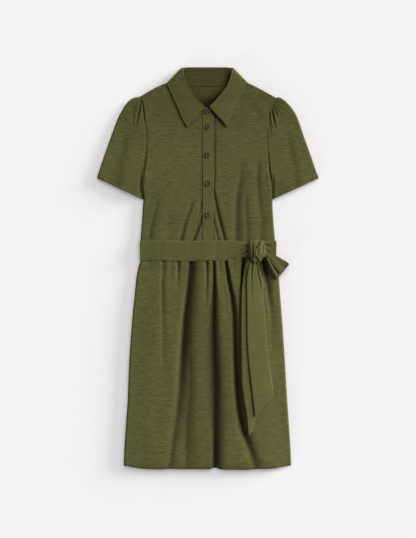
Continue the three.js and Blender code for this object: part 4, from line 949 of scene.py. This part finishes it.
# Tails. Rows: right edge u, v and left edge u, v, then lift in mm.
LONG_TAIL = np.array([
    (250.6, 256, 256, 256, 4.4), (247.6, 260.6, 256.5, 261, 3.4), (245.5, 265, 257, 266, 2.2),
    (243.9, 273, 258, 273, 1.2), (243, 281, 259, 281, 0.7), (241.6, 292, 260, 290, 0.4),
    (241.2, 320, 260.5, 318, 0.2), (241.2, 351, 261.6, 348, 0.2), (241.8, 382, 261, 378, 0.2),
    (244.1, 400, 259.4, 397, 0.2), (247, 417.6, 257, 414.5, 0.2), (248.5, 435.2, 252.6, 430.8, 0.2)])
SHORT_TAIL = np.array([
    (252.4, 255, 256.2, 255, 4.6), (250.6, 261, 256.6, 261, 3.6), (249, 266, 257.6, 266.6, 2.6),
    (247.4, 274, 260.4, 274, 1.8), (246.6, 282, 263.9, 282.4, 1.2), (246.7, 296, 263.4, 297, 0.9),
    (246.9, 318, 265.4, 320, 0.8), (247.2, 342, 267.4, 346, 0.6), (249.2, 368, 270.6, 371, 0.5),
    (252, 392, 272.6, 386.6, 0.5), (254.8, 416.8, 273.2, 395.6, 0.5)])
TAIL_CREASES = {
    "belt_tail_long": [([(246.4, 262, 2.2), (244.6, 275, 1.4), (243.6, 300, 0)], 2.0)],
    "belt_tail_short": [([(253.2, 260.5, 3.4), (252.1, 268, 3.6), (251.4, 277, 2.6), (251.2, 292, 0)], 1.6),
        ([(255.8, 260.5, 3), (257, 269, 3.4), (259.4, 280, 2.6), (261.2, 292, 0)], 1.6), ([(250.8, 282, 0),
        (251, 292, 0.9), (252, 306, 0)], 3.4)],
}
TAIL_TILT = 4.2
tail_waves = Waves(17, 18, 60, 200, 1.2)


def draped(x, y):
    """The front's height with only the wide part of its folds, as a loose band lies over it."""
    total = sum(front_top(x + dx, y) for dx in (-7, 0, 7)) / 3
    return 0.55 * total + 0.45 * front_top(x, y, creased=False)


def tail(name, table, base):
    rows, columns = 190, 26
    at = by_station(table, rows)
    share = np.linspace(0, 1, columns)[None]
    u = at[:, 0:1] + (at[:, 2:3] - at[:, 0:1]) * share
    v = at[:, 1:2] + (at[:, 3:4] - at[:, 1:2]) * share
    x, y = xy(u, v)
    edge = np.minimum(share, 1 - share) * (at[:, 2:3] - at[:, 0:1]) * SQUARE
    tilt = TAIL_TILT * (1 - share) * ease((np.arange(rows)[:, None] / rows - 0.06) / 0.2)
    cuts = [free_fold(x, y, *crease) for crease in TAIL_CREASES[name]]
    z = draped(x, y) + base + at[:, 4:5] + tilt - 0.5 * (1 - rounded(edge, 3)) + 0.3 * tail_waves(x, y)
    z = z - sum(cuts) * rounded(edge, 3) - 0.28 * bell(edge - 3.0, 0.8)
    # Painted shade in the tail's creases and at its top under the knot; on the long tail, a painted shadow
    # along the short tail's edge.
    held = np.maximum(painted_crease_shade(cuts, 0.55, 3), 0.5 * ease((263.5 - v) / 4))
    if name == "belt_tail_long":
        held = np.maximum(held, 0.78 * bell(to_path(x, y, path_mm(SHORT_TAIL[:, :2])), 1.7))
    piece(name + "_cloth", grid_of(x, y, z), TAIL, [name], thick=DOUBLED, shade=held)


tail("belt_tail_long", LONG_TAIL, 1.3)
tail("belt_tail_short", SHORT_TAIL, 2.9)

# Buttons
BUTTONS = [(207.3, 110.9), (207.9, 127), (207.7, 155.1), (208, 183.3), (208, 214.8)]
RIM, THICK, BEVEL = 7.0, 2.7, 0.75
HOLE_OUT, HOLE_SIZE = 2.3, 1.05
BUTTON_SIDE = [(RIM, THICK - BEVEL - 0.7), (RIM * 0.97, 0.35), (RIM * 0.86, 0.0)]  # radius, height


def button(index, u, v):
    x0, y0 = (float(c) for c in xy(u, v))
    base = float(placket_top(np.array([x0]), np.array([y0]))[0]) + 0.25
    turn, rings, spokes = 0.5 * index + 0.3, 26, 64
    r = RIM * np.sin(np.linspace(0, np.pi / 2, rings)) ** 0.9
    a = np.linspace(0, 2 * np.pi, spokes, endpoint=False)
    rr, aa = np.meshgrid(r, a, indexing="ij")
    px, py = rr * np.cos(aa), rr * np.sin(aa)
    top = THICK - 0.95 * ease((4.9 - rr) / 1.7) - BEVEL * (1 - rounded(RIM - rr, 1.2))
    for k in range(4):
        hx, hy = HOLE_OUT * np.cos(turn + k * np.pi / 2), HOLE_OUT * np.sin(turn + k * np.pi / 2)
        top = top - 1.2 * ease((HOLE_SIZE - np.hypot(px - hx, py - hy)) / 0.35)
    verts = [(0, 0, top[0, 0]), *grid_of(px, py, top)[1:].reshape(-1, 3)]
    for radius, height in BUTTON_SIDE:
        verts += [(radius * math.cos(t), radius * math.sin(t), height) for t in a]
    verts.append((0, 0, 0))
    faces = [(0, 1 + j, 1 + (j + 1) % spokes) for j in range(spokes)]
    last = 1 + (rings - 2 + len(BUTTON_SIDE)) * spokes
    for p in range(1, last, spokes):
        q = p + spokes
        faces += [(p + j, q + j, q + (j + 1) % spokes, p + (j + 1) % spokes) for j in range(spokes)]
    faces += [(last + (j + 1) % spokes, last + j, len(verts) - 1) for j in range(spokes)]
    name = f"button_{index + 1}"
    new_object(name + "_horn", np.array(verts) + (x0, y0, base), faces, HORN, [name])
    return x0, y0, base, turn


placed = [button(i, u, v) for i, (u, v) in enumerate(BUTTONS)]

# Sewing
STITCH, PITCH = 2.2, 3.1
STITCH_ROUND, STITCH_LIFT = 0.26, 0.10
# A stitch's cross-sections: share of its length, then share of its radius
STITCH_RINGS = ((0, 0.25), (0.18, 0.9), (0.5, 1.0), (0.82, 0.9), (1, 0.25))


def stitches(name, lines):
    """Short raised stitches along lines of points in mm."""
    verts, faces = [], []
    for line in lines:
        along = run_of(line)
        for start in np.arange(0.5, along[-1] - STITCH, PITCH):
            begin, end = places_at(line, along, np.array([start, start + STITCH]))
            length = np.linalg.norm(end - begin)
            if length < 0.2:
                continue
            d = (end - begin) / length
            side = np.cross(d, [0, 0, 1.0])
            side = side / max(np.linalg.norm(side), 1e-6)
            up = np.cross(side, d)
            first = len(verts)
            for share, size in STITCH_RINGS:
                lift = STITCH_LIFT * math.sin(math.pi * share) - 0.04
                middle = begin + d * length * share + up * lift
                for turn in np.arange(6) * math.pi / 3:
                    verts.append(middle + STITCH_ROUND * size * (math.cos(turn) * side + math.sin(turn) * up))
            for p in range(first, first + 24, 6):
                faces += [(p + a, p + (a + 1) % 6, p + 6 + (a + 1) % 6, p + 6 + a) for a in range(6)]
            faces.append(tuple(first + a for a in range(5, -1, -1)))
            faces.append(tuple(first + 24 + a for a in range(6)))
    return new_object(name, verts, faces, THREAD)


def inset_line(rows, inset, run=run_of):
    """A line that lies inset mm along each row from its first point."""
    return np.stack([places_at(row, run(row), inset) for row in rows])


def inside_edge(grid, inset):
    """A line that far above a grid's last row, as seen from above."""
    return inset_line(grid[::-1].transpose(1, 0, 2), inset, lambda row: run_of(row[:, :2]))


def placket_line(rows):
    return inset_line(rows, PLACKET_STITCH, lambda row: np.abs(row[:, 0] - row[0, 0]))[4:]


def collar_front(rows):
    """A line down a front end of the collar, from its rows nearest that end."""
    return inset_line(rows[:60].transpose(1, 0, 2)[3:-2], 5.5)


hem_stitches = stitches("hem_stitches", [inside_edge(front_skirt, HEM_TURN)])
cuff_lines = [inside_edge(over, CUFF_TURN)[1:-1] for over in (over_right, over_left)]
sleeve_stitches = stitches("sleeve_stitches", cuff_lines)
placket_stitches = stitches("placket_stitches", [placket_line(placket), placket_line(placket[:, ::-1])])
collar_stitches = stitches("collar_stitches", [
    inset_line(fall_grid[8:96, ::-1], COLLAR_STITCH), inset_line(fall_grid[264:352, ::-1], COLLAR_STITCH),
    collar_front(fall_grid), collar_front(fall_grid[::-1])])


def button_crosses():
    """Two crossed threads in each button's holes."""
    curve = bpy.data.curves.new("button_threads", "CURVE")
    curve.dimensions = "3D"
    curve.bevel_depth = 0.42 / 1000
    curve.bevel_resolution = 2
    curve.use_fill_caps = True
    t = np.linspace(-1, 1, 12)
    for x0, y0, base, turn in placed:
        for k in range(2):
            a = turn + k * np.pi / 2
            z = base + THICK - BEVEL + 0.35 * (1 - t ** 2) - 0.5 * np.abs(t) ** 6 + 0.15 * k
            line = grid_of(x0 + HOLE_OUT * t * np.cos(a), y0 + HOLE_OUT * t * np.sin(a), z) / 1000
            spline = curve.splines.new("POLY")
            spline.points.add(len(t) - 1)
            for point, place in zip(spline.points, line):
                point.co = (*place, 1)
    obj = bpy.data.objects.new("button_threads", curve)
    bpy.context.scene.collection.objects.link(obj)
    curve.materials.append(DARK_THREAD)
    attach(obj, "root")


button_crosses()

# Floor and light. Suns: strength, softness, then the way to it from above and its height in degrees, and
# whether it leaves out the floor or lights the floor alone.
FLOOR_REACH, FLOOR_DROP = 3.0, 0.0002
WORLD = 0.30
SUNS = {
    "key": (5.4, 56, 32, 24, "EXCLUDE"),
    "floor_low": (6.9, 20, 25, 6, "INCLUDE"),
    "floor_far": (1.5, 20, 235, 6, "INCLUDE"),
    "floor_high": (1.60, 70, 60, 55, "INCLUDE"),
}


def floor():
    side = np.linspace(-FLOOR_REACH, FLOOR_REACH, 7)
    verts = [(x, y, -FLOOR_DROP) for x in side for y in side]
    corners = [i * 7 + j for i in range(6) for j in range(6)]
    faces = [(c, c + 7, c + 8, c + 1) for c in corners]
    mesh = bpy.data.meshes.new("floor")
    mesh.from_pydata(verts, [], faces)
    mesh.materials.append(floor_paper())
    obj = bpy.data.objects.new("floor", mesh)
    bpy.context.scene.collection.objects.link(obj)
    return obj


def sun(name, energy, softness, toward, elevation, state, paper):
    data = bpy.data.lights.new(name, "SUN")
    data.energy = energy
    data.angle = math.radians(softness)
    data.color = (1, 0.995, 0.99)
    obj = bpy.data.objects.new(name, data)
    bpy.context.scene.collection.objects.link(obj)
    level, up = math.radians(toward), math.tan(math.radians(elevation))
    obj.rotation_euler = Vector((math.cos(level), math.sin(level), up)).to_track_quat("Z", "Y").to_euler()
    lit = bpy.data.collections.new(name + "_lights")
    lit.objects.link(paper)
    lit.collection_objects[0].light_linking.link_state = state
    obj.light_linking.receiver_collection = lit


def light(paper):
    world = bpy.data.worlds.new("studio")
    bpy.context.scene.world = world
    world.use_nodes = True
    set_inputs(world.node_tree.nodes["Background"], {"Color": (1, 0.995, 1, 1), "Strength": WORLD})
    for name, values in SUNS.items():
        sun(name, *values, paper)


light(floor())
bpy.context.scene.view_settings.view_transform = "Standard"
